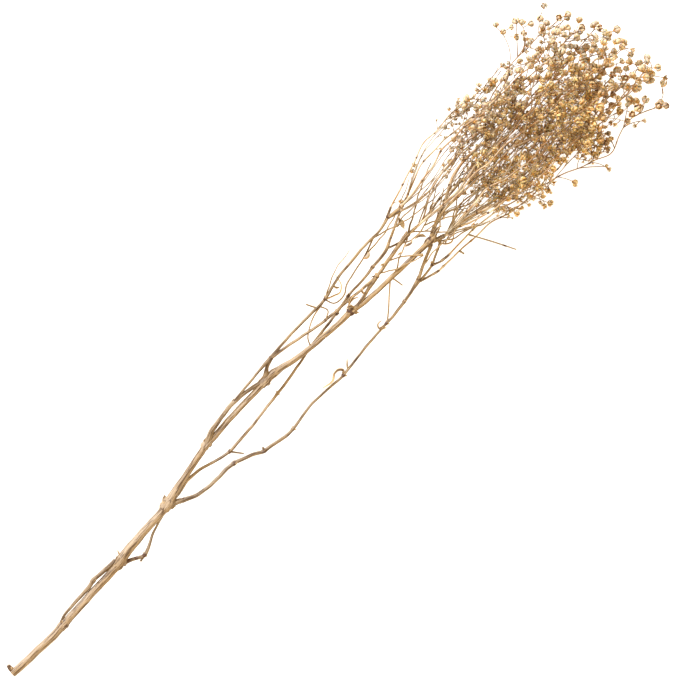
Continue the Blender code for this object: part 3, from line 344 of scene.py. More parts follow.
# Fewest and most tries in a clump of buds and in a clump of blooms
BUD_CLUMP = (5, 11)
BLOOM_CLUMP = (2, 5)

# Radius of a spray's own twig at its root, and the distance over which it fades to that of its tip
ROUTE_TIP = 0.34
ROUTE_RADII = {"spray_crown": (1.6, 110), "spray_brown_lower": (1.45, 65), "spray_left_high": (0.95, 120),
               "spray_left_middle": (0.9, 110), "spray_fan": (0.95, 110), "spray_top": (0.75, 110),
               "other": (0.84, 90)}

# Twigs that follow another one first: which, and over how many millimetres they part from it
PARTINGS = {"spray_middle_upper": ("spray_crown", 38), "spray_top": ("spray_crown", 44),
            "spray_left_far": ("spray_crown", 32), "spray_under": ("spray_crown", 38),
            "spray_middle_lower": ("spray_brown_lower", 26), "spray_far": ("spray_brown_lower", 44),
            "spray_middle_high": ("spray_brown_lower", 32), "spray_lower_high": ("spray_brown_lower", 34),
            "spray_bottom": ("spray_brown_lower", 40), "spray_right_far": ("spray_brown_lower", 30),
            "spray_left_under": ("spray_fan", 30), "spray_left_low": ("spray_fan", 24)}

# Dark patches on the wood: along, across, reach in millimetres, strength
DARK_PATCHES = [
    (-0.5, 2.5, 2.6, 1.0), (27.5, -1.7, 1.2, 0.9), (55.5, -5.0, 1.8, 0.9), (63, -5.5, 2.4, 0.4),
    (101, 5.5, 1.6, 0.6), (119, -3.5, 2.2, 0.6), (125, 4, 1.8, 0.5), (127, -3.6, 2.4, 0.9),
    (133, -6.4, 3.2, 0.75), (139, -8.8, 2.4, 1.0), (181, 12, 2.4, 0.6), (178, 3.2, 2.0, 0.5),
    (192, 1.2, 1.6, 0.6), (236, 17.4, 2.2, 0.6), (241, -5.4, 1.8, 0.7), (265, -15.8, 2.0, 0.7),
    (245, 3.6, 1.6, 0.7), (293, -18.7, 1.6, 0.5), (302, 20.5, 2.4, 0.6), (306, 27, 1.8, 0.5),
    (320, 34.3, 1.8, 0.6), (304, 10.2, 1.4, 0.6), (352, -15.5, 2.2, 0.8), (372, 25.6, 1.8, 0.6),
    (383, 37.6, 2.0, 0.7), (382, 23.8, 1.8, 0.8), (398, 27, 1.6, 0.7), (391, 17.6, 3.4, 0.95),
    (396, 15, 2.0, 0.5), (405, -9.8, 2.0, 0.8), (427, -7.2, 1.8, 0.6), (428, 29.8, 1.8, 0.7),
    (425, 22.6, 1.8, 0.4), (447, -2, 1.8, 0.7), (463, -1.4, 1.8, 0.8), (476.5, 14.4, 2.6, 1.0),
    (473, 11.4, 1.8, 0.6), (468, 31.5, 2.0, 0.5), (464, 50.4, 1.8, 0.8), (454, 36.5, 1.6, 0.6),
    (481, 17, 2.2, 0.5),
]

# The outer petals: how far each of their rows lies out from the bloom's axis and along it, in a bud
# and in an open bloom, and half the petal's width, all as shares of the bloom's radius
PETALS = 5
PETAL_SECTION = (0, 90, 180)
PETAL_FLAT = -0.16
PETAL_CURL = 0.24
PETAL_WIDTH = (0.30, 0.64, 0.60, 0.22)
PETAL_HEIGHT = (0.25, 0.6, 0.9, 1.0)
CLOSED_REACH = (0.36, 0.94, 0.88, 0.26)
CLOSED_RISE = (-0.66, -0.20, 0.46, 0.96)
OPEN_REACH = (0.28, 0.82, 1.06, 1.10)
OPEN_RISE = (-0.60, -0.22, 0.16, 0.58)

# The heart of the head: its middle along and across the stem, how far its ragged blooms reach from
# there, and how far its golden colour does
HEART = (590, 4)
HEART_REACH = (50, 32)
GOLD_REACH = (80, 50)

# How the head is filled, seen from above: along from and to, across from and to, share of possible
# places that carry a clump, and share of the clumps that are small buds
FILLED = [
    (490, 530, -20, 70, 0.0, 1.0), (530, 565, -8, 36, 0.8, 0.85), (565, 592, 14, 36, 0.35, 0.8),
    (584, 607, -30, -5, 0.15, 0.7), (640, 668, -22, -1, 0.02, 0.4), (678, 704, -12, 18, 0.03, 0.4),
    (655, 678, -12, 14, 0.2, 0.4), (655, 672, 46, 64, 0.5, 0.2), (640, 655, 46, 62, 0.5, 0.2),
    (640, 660, 62, 80, 0.35, 0.2), (668, 704, 18, 50, 0.04, 0.3), (672, 692, -24, -6, 0.5, 0.2),
    (656, 676, -38, -22, 1.0, 0.2), (540, 556, 36, 66, 0.15, 0.7), (556, 580, 50, 76, 0.8, 0.6),
    (600, 622, 70, 85, 0.1, 0.5), (560, 600, -24, 8, 0.5, 0.8), (556, 600, 8, 50, 0.85, 0.8),
    (530, 600, 50, 80, 0.4, 0.6), (600, 655, -30, 30, 1.0, 0.75), (600, 640, 58, 80, 0.25, 0.3),
    (600, 655, 30, 80, 0.35, 0.3), (655, 678, 14, 72, 0.25, 0.2), (655, 704, -45, 20, 0.3, 0.3),
]

# The same two shares everywhere else
OPEN_FILLED = (0.3, 0.5)

# Large pale blooms on the right rim of the heart: along, across, height over the floor, radius
RIM_BLOOMS = [
    (651, 12, 76, 3.3), (651, 3, 74, 3.2), (643, -4, 74, 3.5), (637, 0, 76, 3.3), (639, -12, 72, 3.3),
    (632, -16, 70, 3.2), (630, -10, 76, 3.4), (617, -17, 70, 3.3), (626, -23, 66, 3.0), (636, 9, 76, 3.1),
    (694, -25, 38, 2.8), (679, -35, 36, 2.9), (611, -20, 64, 2.8), (623, 1, 76, 3.0), (626, -32, 44, 2.4),
]

# Painted shade on the blooms at the right rim of the head, where they lie in shade: along, across, reach in
# millimetres, strength
PAINTED_SHADE_SPOTS = [
    (653, 0, 3.8, 0.95), (646, -9, 3.8, 0.95), (642, -16, 3.8, 0.95), (634, -21, 3.8, 0.95),
    (628, -26, 3.8, 0.95), (652, 9, 3.8, 0.95), (626, -35, 3.8, 0.95), (661, -2, 3.8, 0.95),
    (652, -27, 3.0, 0.7), (653, -8, 3.8, 0.95), (700, -24.5, 4.6, 1.0), (684, -41, 4.6, 1.0),
    (668, 39, 5, 0.5), (635, -24, 3.5, 0.7),
]

# Thin twigs that cross the head on top: the spray that carries them, and points as above
CROSSING_TWIGS = [
    ("spray_left_middle", [(572, 49.3, 3, 0.6), (585, 48.7, 13, 0.6), (602, 42, 24, 0.55),
        (618, 34.5, 31, 0.5), (640, 18, 33, 0.4), (656, 5, 31, 0.3)]),
    ("spray_left_high", [(578, 57, 24.5, 0.5), (590, 57.5, 27, 0.45), (604, 62, 26, 0.4),
        (617, 70, 20, 0.3)]),
    ("spray_fan", [(575, 30.8, 26, 0.5), (588, 33, 31, 0.5), (604, 38.5, 33, 0.45), (635, 55, 27, 0.3)]),
    ("spray_top", [(560, 25.8, 33, 0.5), (580, 18, 36, 0.45), (600, 9, 36, 0.4), (622, -6, 32, 0.3)]),
    ("spray_middle_high", [(548, 8.3, 26.6, 0.5), (566, 14, 33, 0.45), (590, 25, 36, 0.4),
        (612, 38, 33, 0.3)]),
    ("spray_lower_high", [(556, -8.1, 21.7, 0.5), (572, -2, 28, 0.45), (596, 4, 34, 0.4),
        (624, 16, 35, 0.3)]),
]

# Thin twigs and dry leaf scraps that only the visual model has: points as along, across, lift, radius
FINE_TWIGS = [
    [(467.2, 29.4, 2, 0.5), (472, 26.4, 3, 0.45), (477.4, 21.6, 3, 0.4), (486, 20.6, 3.5, 0.3)],
    [(429.9, 21.7, 2.4, 0.5), (440.6, 15.7, 2.8, 0.45), (452, 12, 2.6, 0.4), (463.3, 8.6, 2.2, 0.35)],
    [(467.5, 30.2, 2, 0.7), (478, 36.5, 4, 0.55), (492.2, 44.6, 6, 0.5), (502.7, 50.8, 8, 0.45),
     (518, 57, 9, 0.3)],
    [(430, 40.8, 9.6, 0.5), (446, 41.5, 9, 0.45), (460, 44.5, 9, 0.45), (480, 51.5, 9, 0.35),
     (497, 60, 8, 0.25)],
    [(440.5, 46.6, 13, 0.55), (455, 43.2, 11, 0.45), (470, 39, 9.5, 0.4), (487, 36, 9, 0.4),
     (507, 35.5, 11, 0.3)],
    [(455, 28, 2, 0.6), (466, 24, 3, 0.45), (478, 24.6, 4, 0.45), (492, 30.5, 6, 0.4), (510, 42, 9, 0.3)],
    [(446.3, 32.7, -0.4, 0.6), (458, 38.5, 2.5, 0.5), (470, 41.5, 4.5, 0.45), (489, 42, 6, 0.4),
     (512, 47, 7, 0.3)],
    [(436, 13.6, 0, 0.6), (447, 19.5, 1.4, 0.45), (459, 25, 2, 0.45), (467.5, 30, 2, 0.4)],
    [(447.5, -1.8, -4.5, 0.6), (461, 3.5, -1, 0.45), (475, 5.5, 1, 0.45), (492, 3.4, 2, 0.4),
     (512, -3, 2, 0.3)],
    [(479, 8.6, -1, 0.6), (489, 2.4, -2.5, 0.45), (503, -1.5, -4, 0.4), (520, -8.5, -6, 0.3)],
    [(384, 37.8, 10, 0.5), (396, 45, 12, 0.4), (409, 49.5, 13, 0.35), (424, 52, 13, 0.25)],
    [(477.4, 21.6, 3, 0.5), (486, 12.5, 4.5, 0.45), (496, 4, 3, 0.4), (508, -2.5, 1, 0.3)],
    [(476, 10.5, 1, 0.6), (486, 14.5, 4.5, 0.45), (498, 26, 7, 0.4), (512, 36, 9, 0.3)],
    [(480, 25.4, 4.3, 0.5), (492, 20, 6, 0.45), (505, 13, 8, 0.4), (520, 8, 10, 0.3)],
    [(482, 3.2, -2.5, 0.5), (495, 10, 4, 0.45), (510, 20, 8, 0.4), (524, 31, 11, 0.3)],
]
FINE_LEAVES = [
    [(475, 17.6, 2, 0.3), (473.4, 20.8, 4, 1.3), (470, 22.6, 5, 1.2), (466.5, 22.4, 5.5, 0.3)],
    [(466, 24.6, 4, 0.3), (463.6, 22.6, 4.6, 0.9), (459.7, 23.3, 4.6, 1.2), (456, 24.8, 4, 0.3)],
    [(453.5, 21.6, 3, 0.3), (450.6, 23.0, 4, 0.8), (447.5, 22.4, 4, 0.3)],
    [(478.6, 12.4, 3, 0.3), (482.5, 15.6, 5, 1.1), (487.5, 16.2, 5.6, 0.9), (491, 14.6, 5, 0.25)],
    [(471, 45.2, 4.4, 0.3), (468.8, 41.6, 6, 0.9), (464.5, 39.4, 6.4, 0.8), (461.5, 40.6, 6, 0.25)],
    [(436, 24, 2, 0.3), (435.4, 25.6, 3.4, 1.0), (434, 26.4, 4, 0.9), (432.6, 26, 4.4, 0.25)],
    [(424, 22.2, 2, 0.3), (423.4, 23.8, 3.6, 1.0), (421.6, 24.8, 4, 0.8), (420, 24, 4.2, 0.2)],
    [(409, 18.8, 2, 0.3), (408.4, 21, 4, 1.0), (409.4, 23, 4.4, 0.9), (411, 23.6, 4.4, 0.2)],
    [(396, 16.8, 2, 0.3), (394, 19.6, 4, 1.1), (391.4, 21, 4.4, 0.8), (389.6, 20, 4.4, 0.2)],
    [(396, 41, 10.5, 0.3), (395.6, 39, 9.8, 1.0), (397, 37.2, 9.4, 0.9), (399, 36.6, 9.2, 0.2)],
    [(392.5, 19.4, 3, 0.3), (396, 23.5, 5, 0.8), (400.6, 24.6, 5.6, 0.8), (404, 22.8, 5, 0.25)],
    [(487, 9, 2.2, 0.3), (489, 6, 4.5, 1.1), (493, 4.8, 5.5, 0.9), (496, 6.4, 5, 0.25)],
    [(494, 17.4, 8, 0.3), (497.5, 21, 9.6, 1.1), (501, 23.6, 9.8, 0.8), (504, 23, 9.4, 0.25)],
    [(490, 28, 10.4, 0.3), (493, 31.5, 11, 1.1), (497, 32.8, 11, 0.8), (500, 31.4, 10.6, 0.25)],
]

# The course of every spray's own twig
ROUTES = {name: route for name, _, route in SPRAYS}

# Branches that are dry leaves, and how much wider than their route each of them is
LEAVES = {"right_leaf": 2.0, "right_curl": 1.9, "right_hook": 1.6, "upper_hook": 1.5, "tangle_leaf": 1.9,
          "loose_hook": 1.5, "joint_spike": 1.4, "left_bract": 1.5, "right_spike": 1.4}

# Branches that are crumpled stubs, and how dark each of them is
STUBS = {"cut_stub": 0.4, "joint_knob": 0.04}

# Branches that are replaced by the round buds below: points as along, across, lift, radius
BUD_BRANCHES = ("dry_bud", "brown_bud")
BUDS = [
    [(427, 40.2, 9.5, 0.45), (428.6, 39.5, 9.3, 1.3), (430.6, 38.9, 9.1, 1.8), (432.6, 39.8, 9.4, 1.5),
     (434, 41, 9.7, 0.7)],
    [(466.5, 29.6, 2, 0.45), (467, 34.6, 3.4, 0.4), (467.6, 36.6, 4, 1.6), (468.8, 38.8, 4.5, 2.0),
     (470, 40.8, 4.9, 1.3)],
]


def axis_height(along):
    """Height of the stem's axis above the surface: it rises evenly from the cut end."""
    return STEM_RADIUS + RISE * along


def place(point):
    """Turn along, across and lift into a position above the surface, still in millimetres."""
    return np.array((point[0], point[1], axis_height(point[0]) + point[2]), dtype=float)


def placed(chain):
    """The points of a route as positions in millimetres, each with its radius behind."""
    return np.array([np.append(place(point), point[3]) for point in chain])


def unit(vector):
    """A vector of the same direction and length one."""
    return vector / max(float(np.linalg.norm(vector)), 1e-9)


class Clearance:
    """Round-ended rods already placed, each known by its node, and the gaps between them."""

    def __init__(self):
        self.starts = []
        self.ends = []
        self.radii = []
        self.nodes = []

    def add(self, node, start, end, radius):
        """Keep one rod."""
        self.starts.append(start)
        self.ends.append(end)
        self.radii.append(radius)
        self.nodes.append(node)

    def free(self, node, start, end, radius):
        """True where a new rod keeps clear of every rod of another node."""
        others = np.array(self.nodes) != node
        if not others.any():
            return True
        first = np.array(self.starts)[others]
        span = np.array(self.ends)[others] - first
        radii = np.array(self.radii)[others]
        gaps = rod_distance(start, end - start, first, span) - radii - radius
        return bool(gaps.min() > NODE_CLEARANCE)


def rod_distance(start, span, starts, spans):
    """Shortest distance from one straight line to each of many, all with two ends."""
    offset = start - starts
    a = float(span @ span) + 1e-12
    e = (spans * spans).sum(axis=1) + 1e-12
    b = spans @ span
    c = offset @ span
    f = (spans * offset).sum(axis=1)
    denominator = a * e - b * b
    s = np.where(denominator > 1e-9, (b * f - c * e) / np.where(denominator > 1e-9, denominator, 1), 0)
    s = np.clip(s, 0, 1)
    t = np.clip((b * s + f) / e, 0, 1)
    s = np.clip((b * t - c) / a, 0, 1)
    between = offset + s[:, None] * span - t[:, None] * spans
    return np.sqrt((between * between).sum(axis=1))


def head_reach(along):
    """Right edge, left edge and half depth of the dense head at one distance along the stem."""
    right = float(np.interp(along, HEAD_ALONG, HEAD_RIGHT))
    left = float(np.interp(along, HEAD_ALONG, HEAD_LEFT))
    depth = float(np.interp(along, HEAD_ALONG, HEAD_DEPTH))
    return right, left, depth


def filled_share(along, across):
    """Share of possible places that carry a bloom here, seen from above."""
    for low, high, right, left, share in CROWDED:
        if low <= along <= high and right <= across <= left:
            return share
    return OPEN_SHARE


def random_spot(rng, first, last):
    """A random place in the head from first to last along it, as along, across and lift, or None outside it.

    Inside, the cubes of |across from the middle| / half width and of |lift| / half depth add up to 1 at most.
    """
    along = rng.uniform(first, last)
    right, left, depth = head_reach(along)
    across = rng.uniform(right, left)
    lift = rng.uniform(-depth, depth)
    offset = (across - (right + left) / 2) / ((left - right) / 2)
    return (along, across, lift) if abs(offset) ** 3 + abs(lift / depth) ** 3 <= 1 else None


def bloom_places(rng):
    """Centres and radii of all blooms: the edge ones, the feet, and the ones that fill the head."""
    places = []
    for along, across in FOOT_BLOOMS:
        radius = BLOOM_RADIUS[1]
        places.append((np.array((along, across, 0.5 * radius)), radius))
    for along, across, small in EDGE_BLOOMS:
        radius = rng.uniform(*(SMALL_BLOOM_RADIUS if small else BLOOM_RADIUS))
        places.append((place((along, across, rng.uniform(-9, 13))), radius))
    target = len(places) + BLOOM_COUNT
    while len(places) < target:
        spot = random_spot(rng, HEAD_ALONG[0], HEAD_ALONG[-1])
        if spot is None or rng.random() > filled_share(*spot[:2]):
            continue
        along, across, _ = spot
        small = across > 58 or across < -17 or along < 540
        radius = rng.uniform(*(SMALL_BLOOM_RADIUS if small else BLOOM_RADIUS))
        centre = place(spot)
        if centre[2] < radius + 1.2:
            continue
        if min(float(np.linalg.norm(centre - other)) for other, _ in places) > BLOOM_SPACING:
            places.append((centre, radius))
    return places


def spray_path(name, route):
    """A spray's route with the small wandering of a dry twig, past its fourth point."""
    rng = random.Random(name)
    points = []
    for index, point in enumerate(route):
        drift = WANDER * min(1, max(0, index - 3) / 2)
        offset = np.array((0, rng.uniform(-drift, drift), rng.uniform(-drift, drift)))
        points.append(place(point) + offset)
    return points


def route_samples(points):
    """Points every few millimetres along a spray's route, and the direction there."""
    samples = []
    for start, end in zip(points[1:-1], points[2:]):
        steps = max(2, int(np.linalg.norm(end - start) / 4))
        for step in range(steps):
            samples.append((start + (end - start) * (step + 0.5) / steps, unit(end - start)))
    return samples


def reach_cost(starts, directions, target):
    """How hard a target is to reach from each start, and how far it is.

    The cost is distance x (1 + turn cost x what the turn has beyond the easy one, in radians).
    """
    reach = target - starts
    length = np.sqrt((reach * reach).sum(axis=1)) + 1e-9
    turn = np.arccos(np.clip((reach * directions).sum(axis=1) / length, -1, 1))
    return length * (1 + TURN_COST * np.maximum(0, turn - EASY_TURN)), length


def best_root(samples, target):
    """The place on a route from which a twig reaches the target at an easy angle, and its cost."""
    starts, directions = (np.array(column) for column in zip(*samples))
    cost, _ = reach_cost(starts, directions, target)
    best = int(cost.argmin())
    return best, float(cost[best])


def share_out(places, samples):
    """Give each bloom to the spray that reaches it most easily, and spares one that has many already."""
    shared = {name: [] for name in samples}
    for centre, radius in places:
        costs = {}
        for name in samples:
            costs[name] = best_root(samples[name], centre)[1] + CROWDING * len(shared[name])
        shared[min(costs, key=costs.get)].append((centre, radius))
    return shared


def groups_of(blooms):
    """Gather blooms that stand close together, a few to a group, for one twig each."""
    waiting = sorted(blooms, key=lambda bloom: bloom[0][0])
    groups = []
    while waiting:
        first = waiting.pop(0)
        waiting.sort(key=lambda bloom: float(np.linalg.norm(bloom[0] - first[0])))
        group = [first]
        while waiting and len(group) < GROUP_SIZE:
            if np.linalg.norm(waiting[0][0] - first[0]) > GROUP_REACH:
                break
            group.append(waiting.pop(0))
        waiting.sort(key=lambda bloom: bloom[0][0])
        groups.append(group)
    return groups


def bloom_stalk(start, centre, radius, rng):
    """Where a stalk from start reaches its bloom, and which way the bloom faces."""
    facing = unit(unit(centre - start) + np.array([rng.uniform(-0.35, 0.35) for _ in range(3)]))
    return centre - facing * radius * 0.8, facing


def grow_group(node, group, samples, rods, rng):
    """Grow one twig to the furthest bloom of a group, and a stalk from it to each of the others."""
    root, forward = samples[best_root(samples, group[0][0])[0]]
    group = sorted(group, key=lambda bloom: -float(np.linalg.norm(bloom[0] - root)))
    shoots = []
    for index, (centre, radius) in enumerate(group):
        for _ in range(10):
            if shoots:
                along = 0.88 - 0.17 * index + rng.uniform(-0.03, 0.03)
                path = shoots[0][0]
                start = path[-2] + (path[-1] - path[-2]) * along
            else:
                start = root
            neck, facing = bloom_stalk(start, centre, radius, rng)
            length = float(np.linalg.norm(neck - start))
            jitter = np.array([rng.uniform(-1, 1) for _ in range(3)]) * 0.04 * length
            bend = start + (neck - start) * 0.4 + forward * 0.08 * length + jitter
            path = [start, neck] if shoots or length < BENT_LENGTH else [start, bend, neck]
            clear = rods.free(node, centre, centre, radius * PETAL_REACH) and length > 2
            for low, high in zip(path[:-1], path[1:]):
                clear = clear and rods.free(node, low, high, PEDICEL_RADIUS)
            if clear:
                for low, high in zip(path[:-1], path[1:]):
                    rods.add(node, low, high, PEDICEL_RADIUS)
                rods.add(node, centre, centre, radius * PETAL_REACH)
                shoots.append((path, centre, facing, radius, rng.random()))
                break
    return shoots


def tip_bloom(name, route, rods, rng):
    """The bloom that ends a spray's own twig, turned until it is clear of the others."""
    before, tip = spray_path(name, route)[-2:]
    forward = unit(tip - before)
    radius = rng.uniform(*BLOOM_RADIUS)
    while True:
        facing = unit(forward + np.array([rng.uniform(-0.6, 0.6) for _ in range(3)]))
        centre = tip + facing * (2.5 + radius)
        if rods.free(name, tip, centre, radius * PETAL_REACH):
            rods.add(name, centre, centre, radius * PETAL_REACH)
            return [tip - forward, centre - facing * radius * 0.8], centre, facing, radius, rng.random()


def grow_sprays():
    """The shoots of every spray, by its name: path, bloom centre, facing, radius and openness."""
    rng = random.Random(SEED)
    rods = Clearance()
    for chain in [MAIN_STEM] + [points for _, points in BRANCHES]:
        for start, end in zip(chain[:-1], chain[1:]):
            rods.add("main_stem", place(start), place(end), max(start[3], end[3]))
    samples = {}
    for name, root_radius, route in SPRAYS:
        points = spray_path(name, route)
        samples[name] = route_samples(points)
        rods.add("main_stem", points[0], points[1], root_radius)
        for start, end in zip(points[1:-1], points[2:]):
            rods.add(name, start, end, root_radius)
    for name, chain in BARE_TWIGS:
        for start, end in zip(chain[:-1], chain[1:]):
            rods.add(name, place(start), place(end), start[3])
    shared = share_out(bloom_places(rng), samples)
    grown = {name: [tip_bloom(name, route, rods, rng)] for name, _, route in SPRAYS}
    for name in grown:
        for group in groups_of(shared[name]):
            grown[name] += grow_group(name, group, samples[name], rods, rng)
    return grown


def seen(red, green, blue):
    """A colour as it looks, from 0 to 255 a channel, in the linear values that Blender keeps."""
    return tuple((channel / 255) ** 2.2 for channel in (red, green, blue))


def colour_setting(name, description, colour):
    """A colour that can be set in the sidebar, and the one that it starts with."""
    return FloatVectorProperty(name=name, description=description, default=colour,
                               subtype="COLOR", min=0, max=1)


class WoodSettings(bpy.types.PropertyGroup):
    """Sizes and colours of the woody stem and the dry leaves on it."""

    straw: colour_setting("Straw", "Colour of the dry bark on the lower stem", seen(152, 131, 108))
    gold: colour_setting("Gold", "Colour of the dry bark on the upper branches", seen(174, 147, 106))
    pale: colour_setting("Pale", "Colour of the bleached stretches of bark", seen(190, 175, 160))
    fibre: colour_setting("Fibre", "Colour of the fine dark lines along the bark", seen(66, 40, 22))
    scar: colour_setting("Scar", "Colour of the old scars at the joints", seen(76, 48, 30))
    leaf: colour_setting("Leaf", "Colour of the curled dry leaves", seen(204, 176, 136))
    ridge: FloatProperty(name="Ridge", description="Depth of the stem's ridges, as a share of its radius",
                         subtype="FACTOR", min=0, max=0.2, default=0.035)


class SpraySettings(bpy.types.PropertyGroup):
    """Sizes and colours of the fine twigs and their blooms."""

    twig: colour_setting("Twig", "Colour of the fine twigs", seen(238, 228, 206))
    tip: colour_setting("Twig tip", "Colour of the finest twigs at the far end", seen(146, 103, 52))
    petal: colour_setting("Petal", "Colour of the papery petals at the edge of the head", seen(188, 187, 184))
    honey: colour_setting("Honey", "Colour of the petals in the heart of the head", seen(242, 201, 140))
    bleached: colour_setting("Bleached", "Colour of the petals' dry edges", seen(234, 228, 218))
    calyx: colour_setting("Calyx", "Colour of the small cup under the petals", seen(196, 144, 76))
    # The colour of the painted shade that darkens the blooms at the right rim of the head
    withered: colour_setting("Withered", "Colour of the few dark withered blooms", seen(96, 70, 60))
    stalk: FloatProperty(name="Stalk", description="Radius of a bloom's own stalk, in metres",
                         subtype="DISTANCE", min=0.0002, max=0.0006, default=0.00031)
    size: FloatProperty(name="Bloom size", description="Size of the blooms against the packed model's",
                        subtype="FACTOR", min=0.7, max=1.1, default=1.04)
    extra: IntProperty(name="Extra blooms", description="Blooms added between those of the packed model",
                       min=0, max=3000, default=2300)


class StageSettings(bpy.types.PropertyGroup):
    """The floor, the light and the camera round the stem."""

    floor: colour_setting("Floor", "Colour of the floor", (0.5, 0.5, 0.5))
    key_colour: colour_setting("Key colour", "Colour of the light from the upper left", (0.80, 0.89, 1.0))
    fill_colour: colour_setting("Fill colour", "Colour of the even light from all round", (1.0, 0.77, 0.44))
    key: FloatProperty(name="Key light", description="Strength of the soft light from the upper left",
                       min=0, max=20, default=4.6)
    fill: FloatProperty(name="Fill light", description="Strength of the even light from all round",
                        min=0, max=5, default=1.44)
    lens: FloatProperty(name="Lens", description="Focal length of the camera, in millimetres",
                        min=50, max=1000, default=400)


def colours(settings, *names):
    """Some of the colours among the settings, in the order of their names."""
    return tuple(tuple(getattr(settings, name)) for name in names)


def hermite(points, step):
    """A smooth curve through points, about one step apart, whose first columns are its place.

    Between two points it is the cubic with the slopes that their neighbours give, each
    measured by distance along the route: slope = (next - last) / (distance between them).
    """
    points = np.asarray(points, dtype=float)
    spans = np.linalg.norm(np.diff(points[:, :3], axis=0), axis=1)
    at = np.concatenate(([0], np.cumsum(spans)))
    if len(points) > 2:
        slope = np.gradient(points, at, axis=0)
    else:
        slope = np.tile((points[1] - points[0]) / spans[0], (2, 1))
    where = np.linspace(0, at[-1], max(3, int(at[-1] / step) + 1))
    left = np.clip(np.searchsorted(at, where, side="right") - 1, 0, len(spans) - 1)
    span = spans[left][:, None]
    t = ((where - at[left]) / spans[left])[:, None]
    curve = (2 * t ** 3 - 3 * t ** 2 + 1) * points[left] + (t ** 3 - 2 * t ** 2 + t) * span * slope[left]
    curve += (3 * t ** 2 - 2 * t ** 3) * points[left + 1] + (t ** 3 - t ** 2) * span * slope[left + 1]
    return curve, where


def wave(where, length, seed):
    """A smooth random value along a route: the sum of three sines of seeded phase, from about -1 to 1."""
    phases = np.random.default_rng(seed).uniform(0, 2 * math.pi, 3)
    return sum(np.sin(where * 2 * math.pi / (length * share) + phase)
               for share, phase in zip((1.0, 0.63, 0.37), phases)) / 2.2


def carried_profile(paths, radii, sides, flat=1.0, curl=0.0, side=None):
    """Closed tubes, as a grid of place by tube, step and side.

    Two directions square to the path carry a closed section: the point at angle a is the
    path's point, plus radius x cos a along the first, plus radius x (flat x sin a + curl x
    cos a squared) along the second. The first lies nearest to the side that is asked for.
    The angles are even for a number of sides, or given.
    """
    forward = np.gradient(paths, axis=1)
    forward /= np.linalg.norm(forward, axis=2, keepdims=True) + 1e-9
    if side is None:
        guide = np.eye(3)[np.abs(forward).max(axis=1).argmin(axis=1)][:, None, :]
        across = np.cross(np.broadcast_to(guide, forward.shape), forward)
    else:
        across = side[:, None, :] - forward * (forward * side[:, None, :]).sum(axis=2, keepdims=True)
    across /= np.linalg.norm(across, axis=2, keepdims=True) + 1e-9
    up = np.cross(forward, across)
    angle = np.arange(sides) * 2 * math.pi / sides if isinstance(sides, int) else sides
    radii = np.broadcast_to(radii, paths.shape[:2] + (len(angle),))[..., None]
    first = across[:, :, None] * np.cos(angle)[:, None]
    second = up[:, :, None] * (flat * np.sin(angle) + curl * np.cos(angle) ** 2)[:, None]
    return paths[:, :, None] + radii * (first + second)


class Skin:
    """Grids of points gathered into one mesh, with the values at each point that its material reads."""

    def __init__(self):
        self.points = []
        self.faces = []
        self.values = []
        self.count = 0

    def add(self, grids, grain, tint, mark, height=0.0):
        """Keep grids of piece by row by column, wrapped along the columns and closed at both ends.

        Face (row, column) joins a point with the next column's and the next row's.
        """
        pieces, rows, columns, _ = grids.shape
        index = self.count + np.arange(pieces * rows * columns).reshape(pieces, rows, columns)
        after = np.roll(index, -1, axis=2)
        quads = np.stack((index[:, :-1], after[:, :-1], after[:, 1:], index[:, 1:]), axis=-1)
        self.faces += quads.reshape(-1, 4).tolist()
        self.faces += index[:, 0, ::-1].tolist() + index[:, -1].tolist()
        self.points.append(grids.reshape(-1, 3))
        shape = (pieces, rows, columns)
        columns_kept = [np.broadcast_to(grain, shape + (3,)).reshape(-1, 3)]
        columns_kept += [np.broadcast_to(value, shape).reshape(-1, 1) for value in (tint, mark, height)]
        self.values.append(np.concatenate(columns_kept, axis=1))
        self.count += pieces * rows * columns

    def build(self, name, material, nodes):
        """Make the mesh object at the origin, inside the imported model's box, riding on the root body."""
        points = np.clip((np.concatenate(self.points) - SHIFT) * MM, BOX_LOW, BOX_HIGH)
        mesh = bpy.data.meshes.new(name)
        mesh.from_pydata(points.tolist(), [], self.faces)
        mesh.polygons.foreach_set("use_smooth", [True] * len(mesh.polygons))
        values = np.concatenate(self.values).astype(np.float32)
        grain = mesh.attributes.new("grain", "FLOAT_VECTOR", "POINT")
        grain.data.foreach_set("vector", values[:, :3].ravel())
        for column, kind in ((3, "tint"), (4, "mark"), (5, "height")):
            mesh.attributes.new(kind, "FLOAT", "POINT").data.foreach_set("value", values[:, column].copy())
        mesh.materials.append(material)
        mesh.update()
        piece = bpy.data.objects.new(name, mesh)
        bpy.context.scene.collection.objects.link(piece)
        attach(piece, "root")
        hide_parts(*nodes)


class Value:
    """One socket of a shader, on which sums are written as plain Python."""

    def __init__(self, tree, socket):
        self.tree = tree
        self.socket = socket

    def math(self, operation, *others, clamp=False):
        """A Math node of one operation on this value and others."""
        node = self.tree.nodes.new("ShaderNodeMath")
        node.operation = operation
        node.use_clamp = clamp
        for spot, other in zip(node.inputs, others):
            connect(self.tree, other, spot)
        return Value(self.tree, node.outputs[0])

    def __add__(self, other):
        return self.math("ADD", self, other)

    def __sub__(self, other):
        return self.math("SUBTRACT", self, other)

    def __rsub__(self, other):
        return self.math("SUBTRACT", other, self)

    def __mul__(self, other):
        return self.math("MULTIPLY", self, other)

    __radd__ = __add__
    __rmul__ = __mul__

    def clamped(self):
        """The value kept between 0 and 1."""
        return self.math("ADD", self, 0, clamp=True)


def connect(tree, value, socket):
    """Link a value's socket, or set a plain number or colour."""
    if isinstance(value, Value):
        tree.links.new(value.socket, socket)
    elif isinstance(value, (int, float)) or len(value) == len(socket.default_value):
        socket.default_value = value
    else:
        socket.default_value = tuple(value) + (1.0,)


